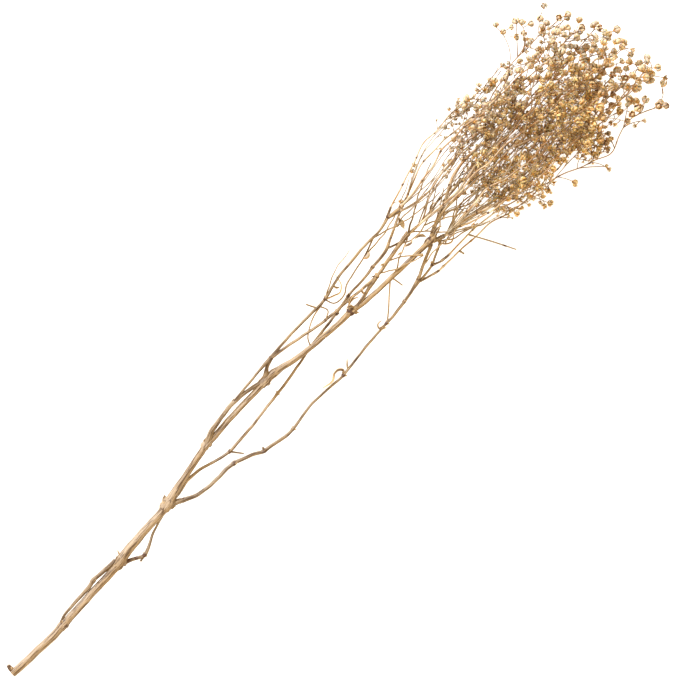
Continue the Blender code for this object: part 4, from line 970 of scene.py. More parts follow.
class Finish:
    """A material under construction, whose nodes come from one method."""

    def __init__(self, name, roughness):
        self.material = bpy.data.materials.new(name)
        self.material.use_nodes = True
        self.tree = self.material.node_tree
        self.shader = self.tree.nodes["Principled BSDF"]
        self.shader.inputs["Roughness"].default_value = roughness

    def node(self, kind, output, settings=None, **inputs):
        """One node of a kind, with its settings and its sockets by name, and the output that is asked for."""
        node = self.tree.nodes.new("ShaderNode" + kind)
        for key, value in (settings or {}).items():
            setattr(node, key, value)
        for key, value in inputs.items():
            connect(self.tree, value, node.inputs[key])
        return Value(self.tree, node.outputs[output])

    def attribute(self, name, output="Fac"):
        """A value that the mesh carries at each point."""
        return self.node("Attribute", output, {"attribute_name": name})

    def noise(self, vector, scale, detail=3.0, spread=1.0):
        """Cloudy noise, drawn out from its middle by spread and kept between 0 and 1."""
        cloud = self.node("TexNoise", "Fac", Vector=vector, Scale=scale, Detail=detail)
        return ((cloud - 0.5) * spread + 0.5).clamped()

    def mix(self, low, high, share, blend="MIX"):
        """Two colours mixed by a share."""
        node = self.tree.nodes.new("ShaderNodeMix")
        node.data_type = "RGBA"
        node.blend_type = blend
        connect(self.tree, share, node.inputs[0])
        connect(self.tree, low, node.inputs[6])
        connect(self.tree, high, node.inputs[7])
        return Value(self.tree, node.outputs[2])

    def shaded(self, colour, shade):
        """A colour times a brightness, which turns slightly warmer as it darkens."""
        grey = self.node("CombineColor", "Color", Red=shade, Green=shade * 0.99, Blue=shade * 0.97)
        return self.mix(colour, grey, 1.0, "MULTIPLY")

    def finish(self, colour, height, distance):
        """Link the colour, and the bump of a height in metres."""
        connect(self.tree, colour, self.shader.inputs["Base Color"])
        bump = self.node("Bump", "Normal", Height=height, Distance=distance, Strength=1.0)
        connect(self.tree, bump, self.shader.inputs["Normal"])
        return self.material


@functools.lru_cache(maxsize=None)
def bark_finish(name, change, low, high, pale, fibre, scar):
    """Dry bark: one colour low on the stem and another past a change, striped with each other, and scarred.

    The stripes, fibres and cracks are noise on the grain, a place that is wound round the wood
    and shortened along it, so that every spot is drawn out into a streak.
    """
    bark = Finish(name, 0.5)
    spot = bark.node("TexCoord", "Object")
    along = bark.node("SeparateXYZ", "X", Vector=spot)
    grain = bark.attribute("grain", "Vector")
    stripes = bark.noise(grain, 0.45, 2.0, 5.0)
    fibres = bark.noise(grain, 1.4, 4.0, 3.2)
    cracks = ((bark.noise(grain, 0.9, 5.0, 5.0) - 0.52) * 2.6).clamped()
    patches = bark.noise(spot, 32.0, 2.0, 5.0)
    passed = ((along - change) * 7.0 + (bark.noise(spot, 25.0, 2.0, 4.0) - 0.5) * 0.7).clamped()
    colour = bark.mix(low, high, (passed + stripes * 0.45).clamped())
    colour = bark.mix(colour, pale, patches * 0.6 * (1.0 - passed * 0.5))
    colour = bark.mix(colour, fibre, (fibres * 0.38 + cracks * 0.75).clamped())
    colour = bark.mix(colour, pale, bark.noise(grain, 2.6, 2.0, 3.0) * 0.2)
    rim = bark.noise(spot, 420.0, 3.0, 2.5)
    colour = bark.shaded(colour, bark.attribute("tint") * 0.6 + 0.66)
    colour = bark.mix(colour, scar, ((bark.attribute("mark") + (rim - 0.5) * 0.7 - 0.38) * 3.0).clamped())
    return bark.finish(colour, fibres * 0.7 + rim * 0.3, 0.0003)


@functools.lru_cache(maxsize=None)
def bloom_finish(name, petal, honey, bleached, calyx, scar):
    """Papery petals: brown at the cup, bleached at the edges, mottled, golden in the heart of the head.

    The heart is an oval seen from above: the distance from its middle, measured in its own
    reach along and across, is 1 at its rim.
    """
    bloom = Finish(name, 0.75)
    bloom.shader.inputs["Subsurface Weight"].default_value = 0.6
    bloom.shader.inputs["Subsurface Radius"].default_value = (1.0, 0.6, 0.3)
    bloom.shader.inputs["Subsurface Scale"].default_value = 0.0015
    spot = bloom.node("TexCoord", "Object")
    height = bloom.attribute("height")
    tint = bloom.attribute("tint")
    mottle = bloom.noise(spot, 620.0, 3.0, 3.2)
    veins = bloom.noise(spot, 1500.0, 2.0, 3.0)
    middle = ((HEART[0] - ORIGIN_ALONG) * MM, (HEART[1] - ORIGIN_ACROSS) * MM, 0.0)
    oval = bloom.node("Mapping", "Vector", {"vector_type": "TEXTURE"}, Vector=spot, Location=middle,
                      Scale=(GOLD_REACH[0] * MM, GOLD_REACH[1] * MM, 100.0))
    reach = bloom.node("VectorMath", "Value", {"operation": "LENGTH"}, Vector=oval)
    golden = ((1.3 - reach) * 1.6 + (bloom.noise(spot, 60.0, 2.0, 4.0) - 0.5) * 0.6).clamped()
    body = bloom.mix(petal, honey, (golden * 0.8 + tint * 0.2).clamped())
    colour = bloom.mix(calyx, body, ((height - 0.10) * 2.2).clamped())
    edge = ((height - 0.5) * 1.6).clamped() * mottle * (0.9 - golden * 0.15)
    colour = bloom.mix(colour, bleached, edge)
    colour = bloom.mix(colour, calyx, bloom.noise(spot, 330.0, 2.0, 4.0) * 0.5 * (1.0 - mottle * 0.6))
    colour = bloom.mix(colour, calyx, veins * 0.22)
    colour = bloom.shaded(colour, tint * 0.26 + 0.83)
    # Painted shade: the mark darkens the blooms at the right rim of the head towards the dark colour passed
    # in as scar, which here is the painted shade colour
    colour = bloom.mix(colour, scar, (bloom.attribute("mark") * (mottle * 0.6 + 0.7)).clamped())
    return bloom.finish(colour, mottle * 0.7 + veins * 0.3, 0.0002)


def petal_finish(context):
    """The papery petals in the colours that are set."""
    # The last of these colours is the painted shade on the blooms at the right rim of the head.
    names = ("petal", "honey", "bleached", "calyx", "withered")
    return bloom_finish("papery_petals", *colours(context.scene.gypso_spray, *names))


def grain_of(where, radii, sides):
    """The grain of a tube: round it by its radius and angle, and along it at a fifteenth of the length."""
    angle = np.arange(sides) * 2 * math.pi / sides
    radii = np.broadcast_to(radii, (len(where), sides))
    along = np.broadcast_to(where[:, None] / 15, radii.shape)
    return np.stack((radii * np.cos(angle), radii * np.sin(angle), along), axis=-1)[None]


def strongest(patches, points):
    """How strong a set of patches is at each point, seen from above: the strongest of them there.

    A patch fades as a bell: strength x exp(-(distance / reach) squared).
    """
    patches = np.array(patches)
    gap = np.linalg.norm(points[..., None, :2] - patches[:, :2], axis=-1)
    return (patches[:, 3] * np.exp(-(gap / patches[:, 2]) ** 2)).max(axis=-1)


def collared(points, where):
    """Even radius along a route, and the height on it of a short square collar for every swelling.

    A point clearly thicker than both neighbours is a swelling. It is left out of the even
    course, and its collar is its height x exp(-(distance / reach) to the sixth).
    """
    at = np.concatenate(([0], np.cumsum(np.linalg.norm(np.diff(points[:, :3], axis=0), axis=1))))
    radius = points[:, 3]
    swollen = np.zeros(len(radius), dtype=bool)
    swollen[1:-1] = radius[1:-1] > COLLAR_SWELLING * np.maximum(radius[:-2], radius[2:])
    even = np.interp(where, at[~swollen], radius[~swollen])
    height = radius[swollen] - np.interp(at[swollen], at[~swollen], radius[~swollen])
    gap = (where[:, None] - at[swollen]) / (COLLAR_REACH * radius[swollen])
    return even, COLLAR_HEIGHT * (height * np.exp(-gap ** 6)).sum(axis=1)


def bark_tube(skin, chain, sides, step, seed, ridge, tint=0.5, wobble=0.12):
    """One stretch of wood: a smooth route with a small waver, ridged along, with collars at its joints.

    At angle a its radius is (even radius + collar) x relief. The relief is 1 + ridge x (0.6 sin 5a +
    0.5 sin 8a + 0.3 sin 2a), each slowly turned along the wood, and on a collar + 0.3 sin 3a + 0.25 sin 5a.
    """
    points = placed(chain)
    curve, where = hermite(points, step)
    even, collar = collared(points, where)
    even *= 1 + THIN_GAIN * np.clip(2.6 - even, 0, 1)
    radius = np.maximum(even + collar, 0.2)
    centre = curve[:, :3]
    fade = np.clip(np.minimum(where, where[-1] - where) / 6, 0, 1)
    centre[:, 1] += wave(where, 34, seed) * wobble * radius * fade
    centre[:, 2] += wave(where, 41, seed + 1) * wobble * radius * fade
    angle = (np.arange(sides) * 2 * math.pi / sides)[None]
    along = where[:, None]
    turn = angle + 0.2 * wave(where, 160, seed + 2)[:, None]
    drift = 1.3 * wave(where, 90, seed + 3)[:, None]
    relief = 1 + ridge * (0.6 * np.sin(5 * turn) + 0.5 * np.sin(8 * turn + drift))
    relief += ridge * 0.3 * wave(where, 9, seed + 4)[:, None] * np.sin(2 * angle + 0.1 * along)
    lumps = 0.3 * np.sin(3 * angle + seed) + 0.25 * np.sin(5 * angle + 1.3 * along)
    relief += (collar / radius)[:, None] * lumps
    grids = carried_profile(centre[None], (radius[:, None] * relief)[None], sides)
    dark = strongest(DARK_PATCHES, centre)[None, :, None]
    skin.add(grids, grain_of(where, radius[:, None], sides), tint, dark)


def joint_bracts():
    """The two small pointed scale leaves at every joint of the wood, as points like those of a leaf."""
    rng = random.Random(SEED)
    steps = ((0.0, 0.0, 0.5), (0.4, 0.22, 0.8), (0.75, 0.45, 0.55), (1.0, 0.75, 0.12))
    bracts = []
    for name, chain in [("main_stem", MAIN_STEM)] + plain_branches():
        for before, joint, after in zip(chain, chain[1:], chain[2:]):
            if joint[3] < COLLAR_SWELLING * max(before[3], after[3]):
                continue
            forward = unit(np.array(after[:3]) - np.array(before[:3]))
            turn = rng.uniform(0, math.pi)
            for side in (turn, turn + math.pi):
                out = np.array((0, math.cos(side), math.sin(side)))
                length = rng.uniform(1.2, 2.1) * math.sqrt(joint[3])
                base = np.array(joint[:3]) + out * joint[3] * 0.7
                points = [base + forward * length * on + out * length * off for on, off, _ in steps]
                halves = [half * joint[3] ** 0.5 for _, _, half in steps]
                bracts.append([tuple(point) + (half,) for point, half in zip(points, halves)])
    return bracts


def plain_branches():
    """The branches that are twigs of wood, not leaves, stubs or buds."""
    return [(name, chain) for name, chain in BRANCHES if name not in (*LEAVES, *STUBS, *BUD_BRANCHES)]


def add_leaf(skin, chain, widen, tint):
    """A curled dry leaf: a thin gutter along its route, blunt at its root and pointed at its tip.

    At a share s of the way its half width is that of the route x widen x (0.32 + 0.48 (sin(pi s^0.8))^0.7).
    """
    curve, where = hermite(placed(chain), 0.9)
    share = where / where[-1]
    width = curve[:, 3] * widen * (0.4 + 0.6 * np.sin(math.pi * share ** 0.8) ** 0.7) * 0.8
    width[-1] = 0.12
    grids = carried_profile(curve[None, :, :3], width[None, :, None], 8, LEAF_FLAT, LEAF_CURL)
    skin.add(grids, grain_of(where, width[:, None], 8), tint, (0.1 + 0.5 * share ** 3)[None, :, None] * 0.6)


def add_stub(skin, chain, dark):
    """A crumpled stub: its radius x (1 + 0.16 sin(5a + 0.9 distance) + 0.07 sin(2.3 distance)) at angle a."""
    curve, where = hermite(placed(chain), 0.9)
    angle = np.arange(10) * 2 * math.pi / 10
    crumple = 1 + 0.16 * np.sin(5 * angle[None] + 0.9 * where[:, None]) + 0.07 * np.sin(2.3 * where)[:, None]
    radius = curve[:, 3:4] * crumple
    grids = carried_profile(curve[None, :, :3], radius[None], 10)
    skin.add(grids, grain_of(where, radius, 10), 0.5, (dark + 0.2 * np.sin(1.7 * where) ** 2)[None, :, None])


def add_bud(skin, chain):
    """A round dry bud: a plain tube along its route, whose radius swells and closes again."""
    curve, where = hermite(placed(chain), 0.9)
    grids = carried_profile(curve[None, :, :3], curve[None, :, 3:4], 8)
    skin.add(grids, grids * 0.4, 0.1, 0.0, (0.2 + 0.6 * where / where[-1])[None, :, None])


class GYPSO_OT_wood(bpy.types.Operator):
    """Grow the woody stem and its side branches as smooth ridged tubes"""

    bl_idname = "gypso.wood"
    bl_label = "Woody stem"

    def execute(self, context):
        wood = context.scene.gypso_wood
        skin = Skin()
        rng = random.Random(SEED)
        bark_tube(skin, MAIN_STEM, 20, 1.0, 1, wood.ridge, wobble=0.05)
        plain = dict(plain_branches())
        for index, (name, chain) in enumerate(BRANCHES):
            if name in plain:
                sides = 12 if max(point[3] for point in chain) > 1.9 else 8
                bark_tube(skin, chain, sides, 0.9, 10 + 5 * index, wood.ridge, rng.uniform(0.1, 0.6))
        for name, root_radius, route in SPRAYS:
            if name not in PARTINGS:
                radius = ROUTE_RADII.get(name, ROUTE_RADII["other"])[0]
                ends = [tuple(route[0]) + (min(root_radius, radius * 1.1),), tuple(route[1]) + (radius,)]
                bark_tube(skin, ends, 8, 1.2, len(name), wood.ridge, rng.uniform(0.25, 0.7))
        for index, chain in enumerate(FINE_TWIGS):
            bark_tube(skin, chain, 6, 1.5, 400 + 5 * index, 0.0, rng.uniform(0.2, 0.6), 0.9)
        bark = bark_finish("dry_bark", -0.06, *colours(wood, "straw", "gold", "pale", "fibre", "scar"))
        skin.build("stem_wood", bark, ["main_stem"])
        return {"FINISHED"}


class GYPSO_OT_leaves(bpy.types.Operator):
    """Add the curled dry leaves as thin gutters, the crumpled stubs and the round dry buds"""

    bl_idname = "gypso.leaves"
    bl_label = "Dry leaves, stubs and buds"

    def execute(self, context):
        wood = context.scene.gypso_wood
        leaves = Skin()
        stubs = Skin()
        buds = Skin()
        scraps = [("scrap", chain) for chain in FINE_LEAVES + joint_bracts()]
        for index, (name, chain) in enumerate(BRANCHES + scraps):
            if name in LEAVES or name == "scrap":
                add_leaf(leaves, chain, LEAVES.get(name, 1.2), 0.4 + 0.12 * (index % 5))
            elif name in STUBS:
                add_stub(stubs, chain, STUBS[name])
        for chain in BUDS:
            add_bud(buds, chain)
        leaf = bark_finish("dry_leaf", 0.0, *colours(wood, "leaf", "leaf", "pale", "fibre", "scar"))
        leaves.build("stem_leaves", leaf, ["main_stem"])
        stubs.build("stem_husks", leaf, ["main_stem"])
        buds.build("stem_buds", petal_finish(context), ["main_stem"])
        return {"FINISHED"}


def strand_paths(name):
    """Thin strands that part from a spray's own twig and wind on beside it, as points in millimetres."""
    points = route_curve(name)[0][::STRAND_STRIDE]
    strands = []
    for side in range(0 if name in LONE_TWIGS else STRANDS):
        rng = random.Random(name + str(side))
        turn = rng.uniform(0, 2 * math.pi)
        twist = rng.uniform(-STRAND_TWIST, STRAND_TWIST)
        spread = rng.uniform(*STRAND_SPREAD)
        last = len(points) - rng.randint(1, 3)
        strand = []
        for index, point in enumerate(points[:last]):
            share = min(1, index / 3)
            angle = turn + twist * index / len(points)
            sideways = np.array((0, math.cos(angle), math.sin(angle))) * spread * share
            drift = np.array([rng.uniform(-1, 1) for _ in range(3)]) * STRAND_DRIFT * share
            strand.append(point + sideways + drift)
        strands.append(strand)
    return strands


def extra_share(along, across):
    """Share of possible places that carry an extra clump here, and the share of clumps that are buds."""
    for low, high, right, left, share, buds in FILLED:
        if low <= along < high and right <= across < left:
            return share, buds
    return OPEN_FILLED


def extra_places(taken, count, rng):
    """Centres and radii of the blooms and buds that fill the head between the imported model's, in clumps."""
    places = [(np.array(point), radius) for *point, radius in RIM_BLOOMS]
    centres = list(taken) + [centre for centre, _ in places]
    while len(places) < count:
        spot = random_spot(rng, *EXTRA_ALONG)
        if spot is None:
            continue
        along, across, _ = spot
        share, bud_share = extra_share(along, across)
        if rng.random() > share:
            continue
        buds = rng.random() < bud_share
        rim = along > RIM_ALONG or across > RIM_ACROSS
        (low, high), spacing = BUD if buds else RIM if rim else FILL
        if along < YOUNG_ALONG:
            low, high = BUD[0]
        for _ in range(rng.randint(*(BUD_CLUMP if buds else BLOOM_CLUMP))):
            centre = place(spot) + np.array([rng.gauss(0, CLUMP_REACH) for _ in range(3)])
            radius = rng.uniform(low, high)
            gaps = np.linalg.norm(np.array(centres) - centre, axis=1)
            if centre[2] > radius + FLOOR_GAP and gaps.min() > spacing:
                places.append((centre, radius))
                centres.append(centre)
    return places[:count]


@functools.lru_cache(maxsize=None)
def whole_head(extra):
    """Every shoot of every spray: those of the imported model, then the extra ones that fill the gaps."""
    grown = grow_sprays()
    rng = random.Random(EXTRA_SEED)
    taken = [centre for shoots in grown.values() for _, centre, _, _, _ in shoots]
    starts, directions, owners = [], [], []

    def keep(start, direction, owner):
        """Keep a place from which a stalk may start."""
        starts.append(start)
        directions.append(direction)
        owners.append(owner)

    for name, _, route in SPRAYS:
        for line in [spray_path(name, route)] + strand_paths(name):
            for start, direction in route_samples(line):
                keep(start, direction, name)
        for path, _, _, _, _ in grown[name]:
            start, end = path[-2:]
            for share in PACKED_ROOTS:
                keep(start + (end - start) * share, unit(end - start), name)
    for centre, radius in extra_places(taken, extra, rng):
        cost, length = reach_cost(np.array(starts), np.array(directions), centre)
        best = int((cost + SHORT_COST * (length < SHORT_STALK)).argmin())
        start, forward, name = starts[best], directions[best], owners[best]
        neck, facing = bloom_stalk(start, centre, radius, rng)
        bend = start + (neck - start) * 0.45 + forward * 0.12 * length[best]
        grown[name].append(([start, bend, neck], centre, facing, radius, rng.random() ** 1.6))
        for share in ADDED_ROOTS:
            keep(start + (neck - start) * share, unit(neck - start), name)
    return grown


@functools.lru_cache(maxsize=None)
def route_curve(name):
    """A spray's own twig as a smooth curve with the slow waver of a dry twig, which grows with distance.

    A twig that parts from another one starts on it: beside is that one's place at the same
    distance along, and the twig is beside + (own place - beside) x (3 s^2 - 2 s^3).
    """
    seed = sum(ord(letter) for letter in name)
    points = spray_path(name, ROUTES[name])[1:]
    curve, where = hermite(points, 1.5)
    swell = np.clip(where / 60, 0, 1) * np.clip((where[-1] - where) / 25, 0, 1)
    curve[:, 1] += ROUTE_WAVER * swell * wave(where, 78, seed)
    curve[:, 2] += ROUTE_WAVER * swell * wave(where, 66, seed + 1)
    if name in PARTINGS:
        guide_name, far = PARTINGS[name]
        guide = route_curve(guide_name)[0]
        share = np.clip(where / far, 0, 1)[:, None]
        beside = np.stack([np.interp(curve[:, 0], guide[:, 0], guide[:, axis]) for axis in (1, 2)], axis=1)
        curve[:, 1:] = beside + (curve[:, 1:] - beside) * share ** 2 * (3 - 2 * share)
    return curve, where


def stalk_curves(name, shoots):
    """The stalks of a spray's shoots, each rooted on the nearest twig or stalk that is already there.

    A stalk is the parabola through its root, its bend and its neck: with t from 0 to 1 and the
    bend at half way, it is root + (neck - root) t + 4 t (1 - t) (bend - middle).
    """
    rng = np.random.default_rng(len(name))
    lines = [route_curve(name)[0]] + [hermite(strand, 1.5)[0] for strand in strand_paths(name)]
    grown = np.concatenate(lines)
    t = np.linspace(0, 1, CURVE_STEPS)[:, None]
    curves = []
    for path, _, _, _, _ in shoots:
        root = grown[np.linalg.norm(grown - path[0], axis=1).argmin()]
        neck = path[-1]
        middle = (root + neck) / 2
        length = np.linalg.norm(neck - root)
        sway = path[1] - middle if len(path) == 3 else np.zeros(3)
        sway = sway + rng.normal(0, STALK_CHANCE, 3) * length
        sway *= min(1.0, STALK_BOW * length / (np.linalg.norm(sway) + 1e-9))
        curve = root + (neck - root) * t + 4 * t * (1 - t) * sway
        curves.append(curve)
        grown = np.concatenate((grown, curve[2:-1]))
    return np.array(curves)


def stalk_grids(curves, thin, sides=5):
    """The stalks of a spray as tubes, each of its own thickness.

    At a share s of the way to the bloom the radius is thin x (1.2 - 0.35 s) x that thickness.
    """
    share = np.linspace(0, 1, curves.shape[1])[None, :]
    rng = np.random.default_rng(len(curves))
    radii = thin * (1.2 - 0.35 * share) * rng.uniform(0.85, 1.25, (len(curves), 1))
    return carried_profile(curves, radii[:, :, None], sides), share


def bloom_frames(shoots):
    """Centre, radius and openness of each bloom, two directions square to its axis, and the axis."""
    axis = np.array([shoot[2] for shoot in shoots])
    radius = np.array([shoot[3] for shoot in shoots])
    edge = radius[:, None] * PETAL_REACH * 1.05
    low = np.array(BOX_LOW) / MM + SHIFT + edge
    high = np.array(BOX_HIGH) / MM + SHIFT - edge
    centre = np.clip([shoot[1] for shoot in shoots], low, high)
    openness = np.array([shoot[4] for shoot in shoots])
    guide = np.where(np.abs(axis[:, 2:3]) > 0.9, (1.0, 0.0, 0.0), (0.0, 0.0, 1.0))
    first = np.cross(guide, axis)
    first /= np.linalg.norm(first, axis=1, keepdims=True)
    return centre, radius, openness, first, np.cross(axis, first), axis


def add_cups(skin, shoots, size):
    """The small cup under each bloom: a short turned bulb on the bloom's axis."""
    centre, radius, _, first, _, axis = bloom_frames(shoots)
    rise = np.array((-0.95, -0.66, -0.30))[None, :, None]
    reach = np.array((0.12, 0.40, 0.46))[None, :] * (radius * size)[:, None]
    paths = centre[:, None] + axis[:, None] * rise * (radius * size)[:, None, None]
    grids = carried_profile(paths, reach[:, :, None], 5, side=first)
    height = np.array((0.0, 0.1, 0.25))[None, :, None]
    # The mark is painted shade from the spots at the right rim of the head.
    skin.add(grids, grids * 0.4, 0.4, strongest(PAINTED_SHADE_SPOTS, grids), height)


def add_hearts(skin, shoots, size):
    """The tuft in the middle of each bloom: a short crumpled bulb that tapers to its top."""
    centre, radius, _, first, _, axis = bloom_frames(shoots)
    rng = np.random.default_rng(len(shoots))
    rise = np.array((-0.30, 0.38, 0.84))[None, :] + rng.normal(0, 0.06, (len(shoots), 3))
    paths = centre[:, None] + axis[:, None] * (rise * (radius * size)[:, None])[..., None]
    crumple = rng.normal(1, 0.16, (len(shoots), 3, 4))
    reach = np.array((0.34, 0.52, 0.16))[None, :, None] * crumple * (radius * size)[:, None, None]
    grids = carried_profile(paths, reach, 4, side=first)
    tints = rng.uniform(0, 0.8, (len(shoots), 1, 1))
    height = np.array((0.4, 0.75, 1.0))[None, :, None]
    # The mark is painted shade from the spots at the right rim of the head.
    skin.add(grids, grids * 0.4, tints, strongest(PAINTED_SHADE_SPOTS, grids), height)


def add_petals(skin, shoots, size):
    """The ring of crumpled petals round every bloom: thin gutters that curve out of the cup.

    A petal at angle a follows reach x (cos a, sin a) out from the axis and rise along it, both
    as shares of the bloom's radius and mixed between the closed bud's and the open bloom's.
    """
    centre, radius, openness, first, second, axis = bloom_frames(shoots)
    count = len(shoots)
    rng = np.random.default_rng(count * 7)
    angle = (np.arange(PETALS) * 2 * math.pi / PETALS)[None] + rng.uniform(0, 2 * math.pi, (count, 1))
    angle = angle + rng.normal(0, 0.14, (count, PETALS))
    inside = np.linalg.norm((centre[:, :2] - HEART) / HEART_REACH, axis=1)
    spread = np.maximum(0.9 * openness ** 1.3, 0.75 * ((radius < 1.6) | (inside < 1)))[:, None, None]
    reach = np.array(CLOSED_REACH) * (1 - spread) + np.array(OPEN_REACH) * spread
    rise = np.array(CLOSED_RISE) * (1 - spread) + np.array(OPEN_RISE) * spread
    ragged = np.clip(np.maximum(1.9 - 0.6 * radius, 1.9 - inside), 0.15, 1.0)[:, None, None]
    shape = (count, PETALS, len(PETAL_WIDTH))
    scale = (radius * size)[:, None, None]
    reach = reach * (1 + ragged * rng.normal(0, 0.2, shape))
    reach = reach * (1 + ragged * rng.normal(0, 0.16, (count, PETALS, 1)))
    reach = np.minimum(reach, 1.12) * scale
    rise = (rise + ragged * rng.normal(0, 0.2, shape)) * scale
    width = np.array(PETAL_WIDTH) * (1 - 0.5 * ragged) * rng.uniform(0.8, 1.2, (count, PETALS, 1)) * scale
    out = first[:, None] * np.cos(angle)[..., None] + second[:, None] * np.sin(angle)[..., None]
    side = second[:, None] * np.cos(angle)[..., None] - first[:, None] * np.sin(angle)[..., None]
    side = side + axis[:, None] * (ragged * rng.normal(0, 0.8, (count, PETALS, 1)))
    paths = centre[:, None, None] + out[:, :, None] * reach[..., None] + axis[:, None, None] * rise[..., None]
    paths = paths.reshape(count * PETALS, -1, 3)
    section = np.radians(PETAL_SECTION)
    width = width.reshape(count * PETALS, -1, 1)
    grids = carried_profile(paths, width, section, PETAL_FLAT, PETAL_CURL, side.reshape(-1, 3))
    tints = np.clip(rng.uniform(0, 1, (count, 1)) + rng.normal(0, 0.16, (count, PETALS)), 0, 1.2)
    height = np.array(PETAL_HEIGHT)[None, :, None]
    # The mark is painted shade from the spots at the right rim of the head.
    skin.add(grids, grids * 0.4, tints.reshape(-1, 1, 1), strongest(PAINTED_SHADE_SPOTS, grids), height)


def twig_along(skin, curve, where, radii, sides, seed, tint):
    """A thin twig along a curve, with a small joint every few centimetres and a dark ring at each.

    A joint adds its swelling x exp(-(distance from it / reach) squared) of the radius.
    """
    gap = RING_GAP + seed % 9
    ring = np.exp(-(((where + seed * 3.1) % gap - gap / 2) / RING_REACH) ** 2)
    radius = radii * (1 + RING_SWELLING * ring)
    grids = carried_profile(curve[None], radius[None, :, None], sides)
    skin.add(grids, grain_of(where, radius[:, None], sides), tint, (RING_DARK * ring)[None, :, None])


class GYPSO_OT_twigs(bpy.types.Operator):
    """Grow the fine twigs of every spray, one piece a spray"""

    bl_idname = "gypso.twigs"
    bl_label = "Fine twigs"

    def execute(self, context):
        spray = context.scene.gypso_spray
        wood = context.scene.gypso_wood
        twig, tip = colours(spray, "twig", "tip")
        pale, scar = colours(wood, "pale", "scar")
        bark = bark_finish("twig_bark", 0.14, twig, tip, pale, tip, scar)
        grown = whole_head(spray.extra)
        for index, (name, _, _) in enumerate(SPRAYS):
            skin = Skin()
            curve, where = route_curve(name)
            radius, fade = ROUTE_RADII.get(name, ROUTE_RADII["other"])
            radii = ROUTE_TIP + (radius - ROUTE_TIP) * np.exp(-where / fade)
            twig_along(skin, curve, where, radii, 7, index * 3, 0.55)
            for side, strand in enumerate(strand_paths(name)):
                curve, where = hermite(strand, 2.5)
                radii = STRAND_TIP + STRAND_GAIN * np.exp(-where / STRAND_FADE)
                twig_along(skin, curve, where, radii, 5, index * 3 + side + 1, -0.1)
            for carrier, chain in BARE_TWIGS + CROSSING_TWIGS:
                if carrier == name:
                    curve, where = hermite(placed(chain), 1.5)
                    twig_along(skin, curve[:, :3], where, curve[:, 3], 6, index, -0.1)
            grids, share = stalk_grids(stalk_curves(name, grown[name]), spray.stalk / MM)
            tints = np.random.default_rng(index).uniform(-0.45, 0.35, (len(grids), 1, 1))
            skin.add(grids, grids * 0.4, tints, (0.5 * (share < 0.1))[..., None])
            skin.build(name.replace("spray", "twigs"), bark, [name])
        return {"FINISHED"}


class GYPSO_OT_blooms(bpy.types.Operator):
    """Set a crumpled papery bloom at the end of every stalk, one piece a spray"""

    bl_idname = "gypso.blooms"
    bl_label = "Blooms"

    def execute(self, context):
        spray = context.scene.gypso_spray
        paper = petal_finish(context)
        for name, shoots in whole_head(spray.extra).items():
            skin = Skin()
            add_cups(skin, shoots, spray.size)
            add_hearts(skin, shoots, spray.size)
            add_petals(skin, shoots, spray.size)
            skin.build(name.replace("spray", "blooms"), paper, [name])
        return {"FINISHED"}


def lay_floor(colour):
    """A wide plain floor: a flat grid, whose height is nought everywhere."""
    span = np.linspace(-FLOOR_REACH, FLOOR_REACH, 5)
    x, y = np.meshgrid(span, span, indexing="ij")
    points = np.stack((x, y, np.zeros_like(x)), axis=-1).reshape(-1, 3)
    index = np.arange(x.size).reshape(x.shape)
    faces = np.stack((index[:-1, :-1], index[1:, :-1], index[1:, 1:], index[:-1, 1:]), axis=-1).reshape(-1, 4)
    mesh = bpy.data.meshes.new("studio_floor")
    mesh.from_pydata(points.tolist(), [], faces.tolist())
    paper = Finish("floor_paper", 0.95)
    connect(paper.tree, colour, paper.shader.inputs["Base Color"])
    paper.shader.inputs["Emission Color"].default_value = (1, 1, 1, 1)
    paper.shader.inputs["Emission Strength"].default_value = FLOOR_GLOW
    mesh.materials.append(paper.material)
    floor = bpy.data.objects.new("studio_floor", mesh)
    floor.visible_diffuse = False
    bpy.context.scene.collection.objects.link(floor)
    floor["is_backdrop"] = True


def aim_camera(lens):
    """A camera straight above, as in the photograph: the stem runs from the lower left to the upper right.

    Its distance is the width that it sees x focal length / width of its sensor.
    """
    data = bpy.data.cameras.new("photo_camera")
    data.lens = lens
    data.sensor_width = SENSOR
    data.clip_end = 100
    camera = bpy.data.objects.new("photo_camera", data)
    camera.location = (*VIEW_CENTRE, VIEW_LEVEL + VIEW_WIDTH / SENSOR * lens)
    camera.rotation_euler = (0, 0, math.radians(VIEW_TURN))
    bpy.context.scene.collection.objects.link(camera)
    bpy.context.scene.camera = camera


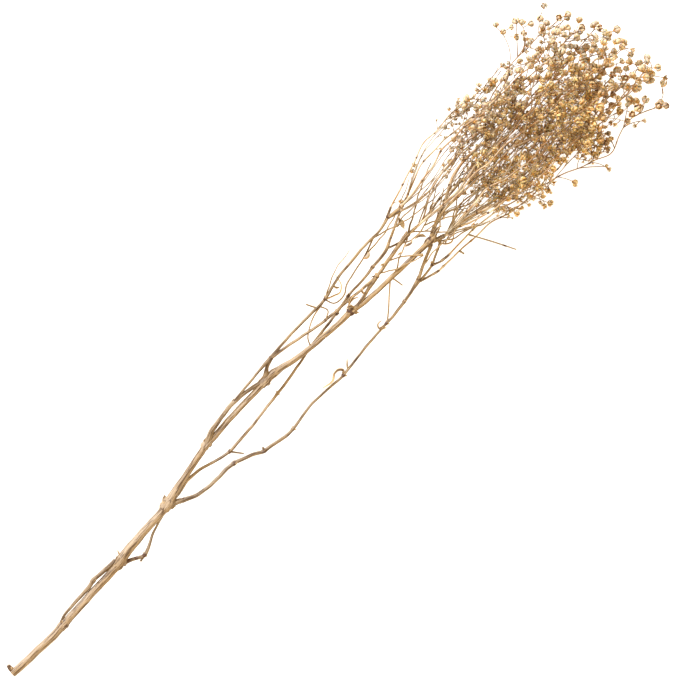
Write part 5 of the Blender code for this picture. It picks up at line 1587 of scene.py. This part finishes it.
class GYPSO_OT_stage(bpy.types.Operator):
    """Lay out the floor, the camera and the soft light from the upper left"""

    bl_idname = "gypso.stage"
    bl_label = "Stage"

    def execute(self, context):
        stage = context.scene.gypso_stage
        aim_camera(stage.lens)
        lay_floor(*colours(stage, "floor"))
        sun = bpy.data.lights.new("key_light", "SUN")
        sun.energy = stage.key
        sun.angle = math.radians(KEY_WIDTH)
        sun.color = stage.key_colour
        key = bpy.data.objects.new("key_light", sun)
        key.rotation_euler = [math.radians(turn) for turn in KEY_TURN]
        context.scene.collection.objects.link(key)
        world = bpy.data.worlds.new("studio")
        world.use_nodes = True
        sky = world.node_tree.nodes["Background"]
        sky.inputs["Color"].default_value = (*stage.fill_colour, 1)
        sky.inputs["Strength"].default_value = stage.fill
        context.scene.world = world
        context.scene.view_settings.view_transform = "Standard"
        return {"FINISHED"}


class GYPSO_PT_panel(bpy.types.Panel):
    """The sizes and colours, and a button that makes each group of pieces"""

    bl_label = "Gypsophila"
    bl_idname = "GYPSO_PT_panel"
    bl_space_type = "VIEW_3D"
    bl_region_type = "UI"
    bl_category = "Gypsophila"

    def draw(self, context):
        for name, kind in SETTINGS.items():
            for key in kind.__annotations__:
                self.layout.prop(getattr(context.scene, name), key)
        for operator in OPERATORS:
            self.layout.operator(operator.bl_idname)


SETTINGS = {"gypso_wood": WoodSettings, "gypso_spray": SpraySettings, "gypso_stage": StageSettings}
OPERATORS = (GYPSO_OT_stage, GYPSO_OT_wood, GYPSO_OT_leaves, GYPSO_OT_twigs, GYPSO_OT_blooms)
CLASSES = tuple(SETTINGS.values()) + OPERATORS + (GYPSO_PT_panel,)


def register():
    """Make the settings, the operators and the panel known to Blender."""
    for kind in CLASSES:
        bpy.utils.register_class(kind)
    for name, kind in SETTINGS.items():
        setattr(bpy.types.Scene, name, PointerProperty(type=kind))


def unregister():
    """Take them out again."""
    for name in SETTINGS:
        delattr(bpy.types.Scene, name)
    for kind in reversed(CLASSES):
        bpy.utils.unregister_class(kind)


def main():
    """Make the stage and every piece in order."""
    register()
    bpy.ops.gypso.stage()
    bpy.ops.gypso.wood()
    bpy.ops.gypso.leaves()
    bpy.ops.gypso.twigs()
    bpy.ops.gypso.blooms()


if __name__ == "__main__":
    main()
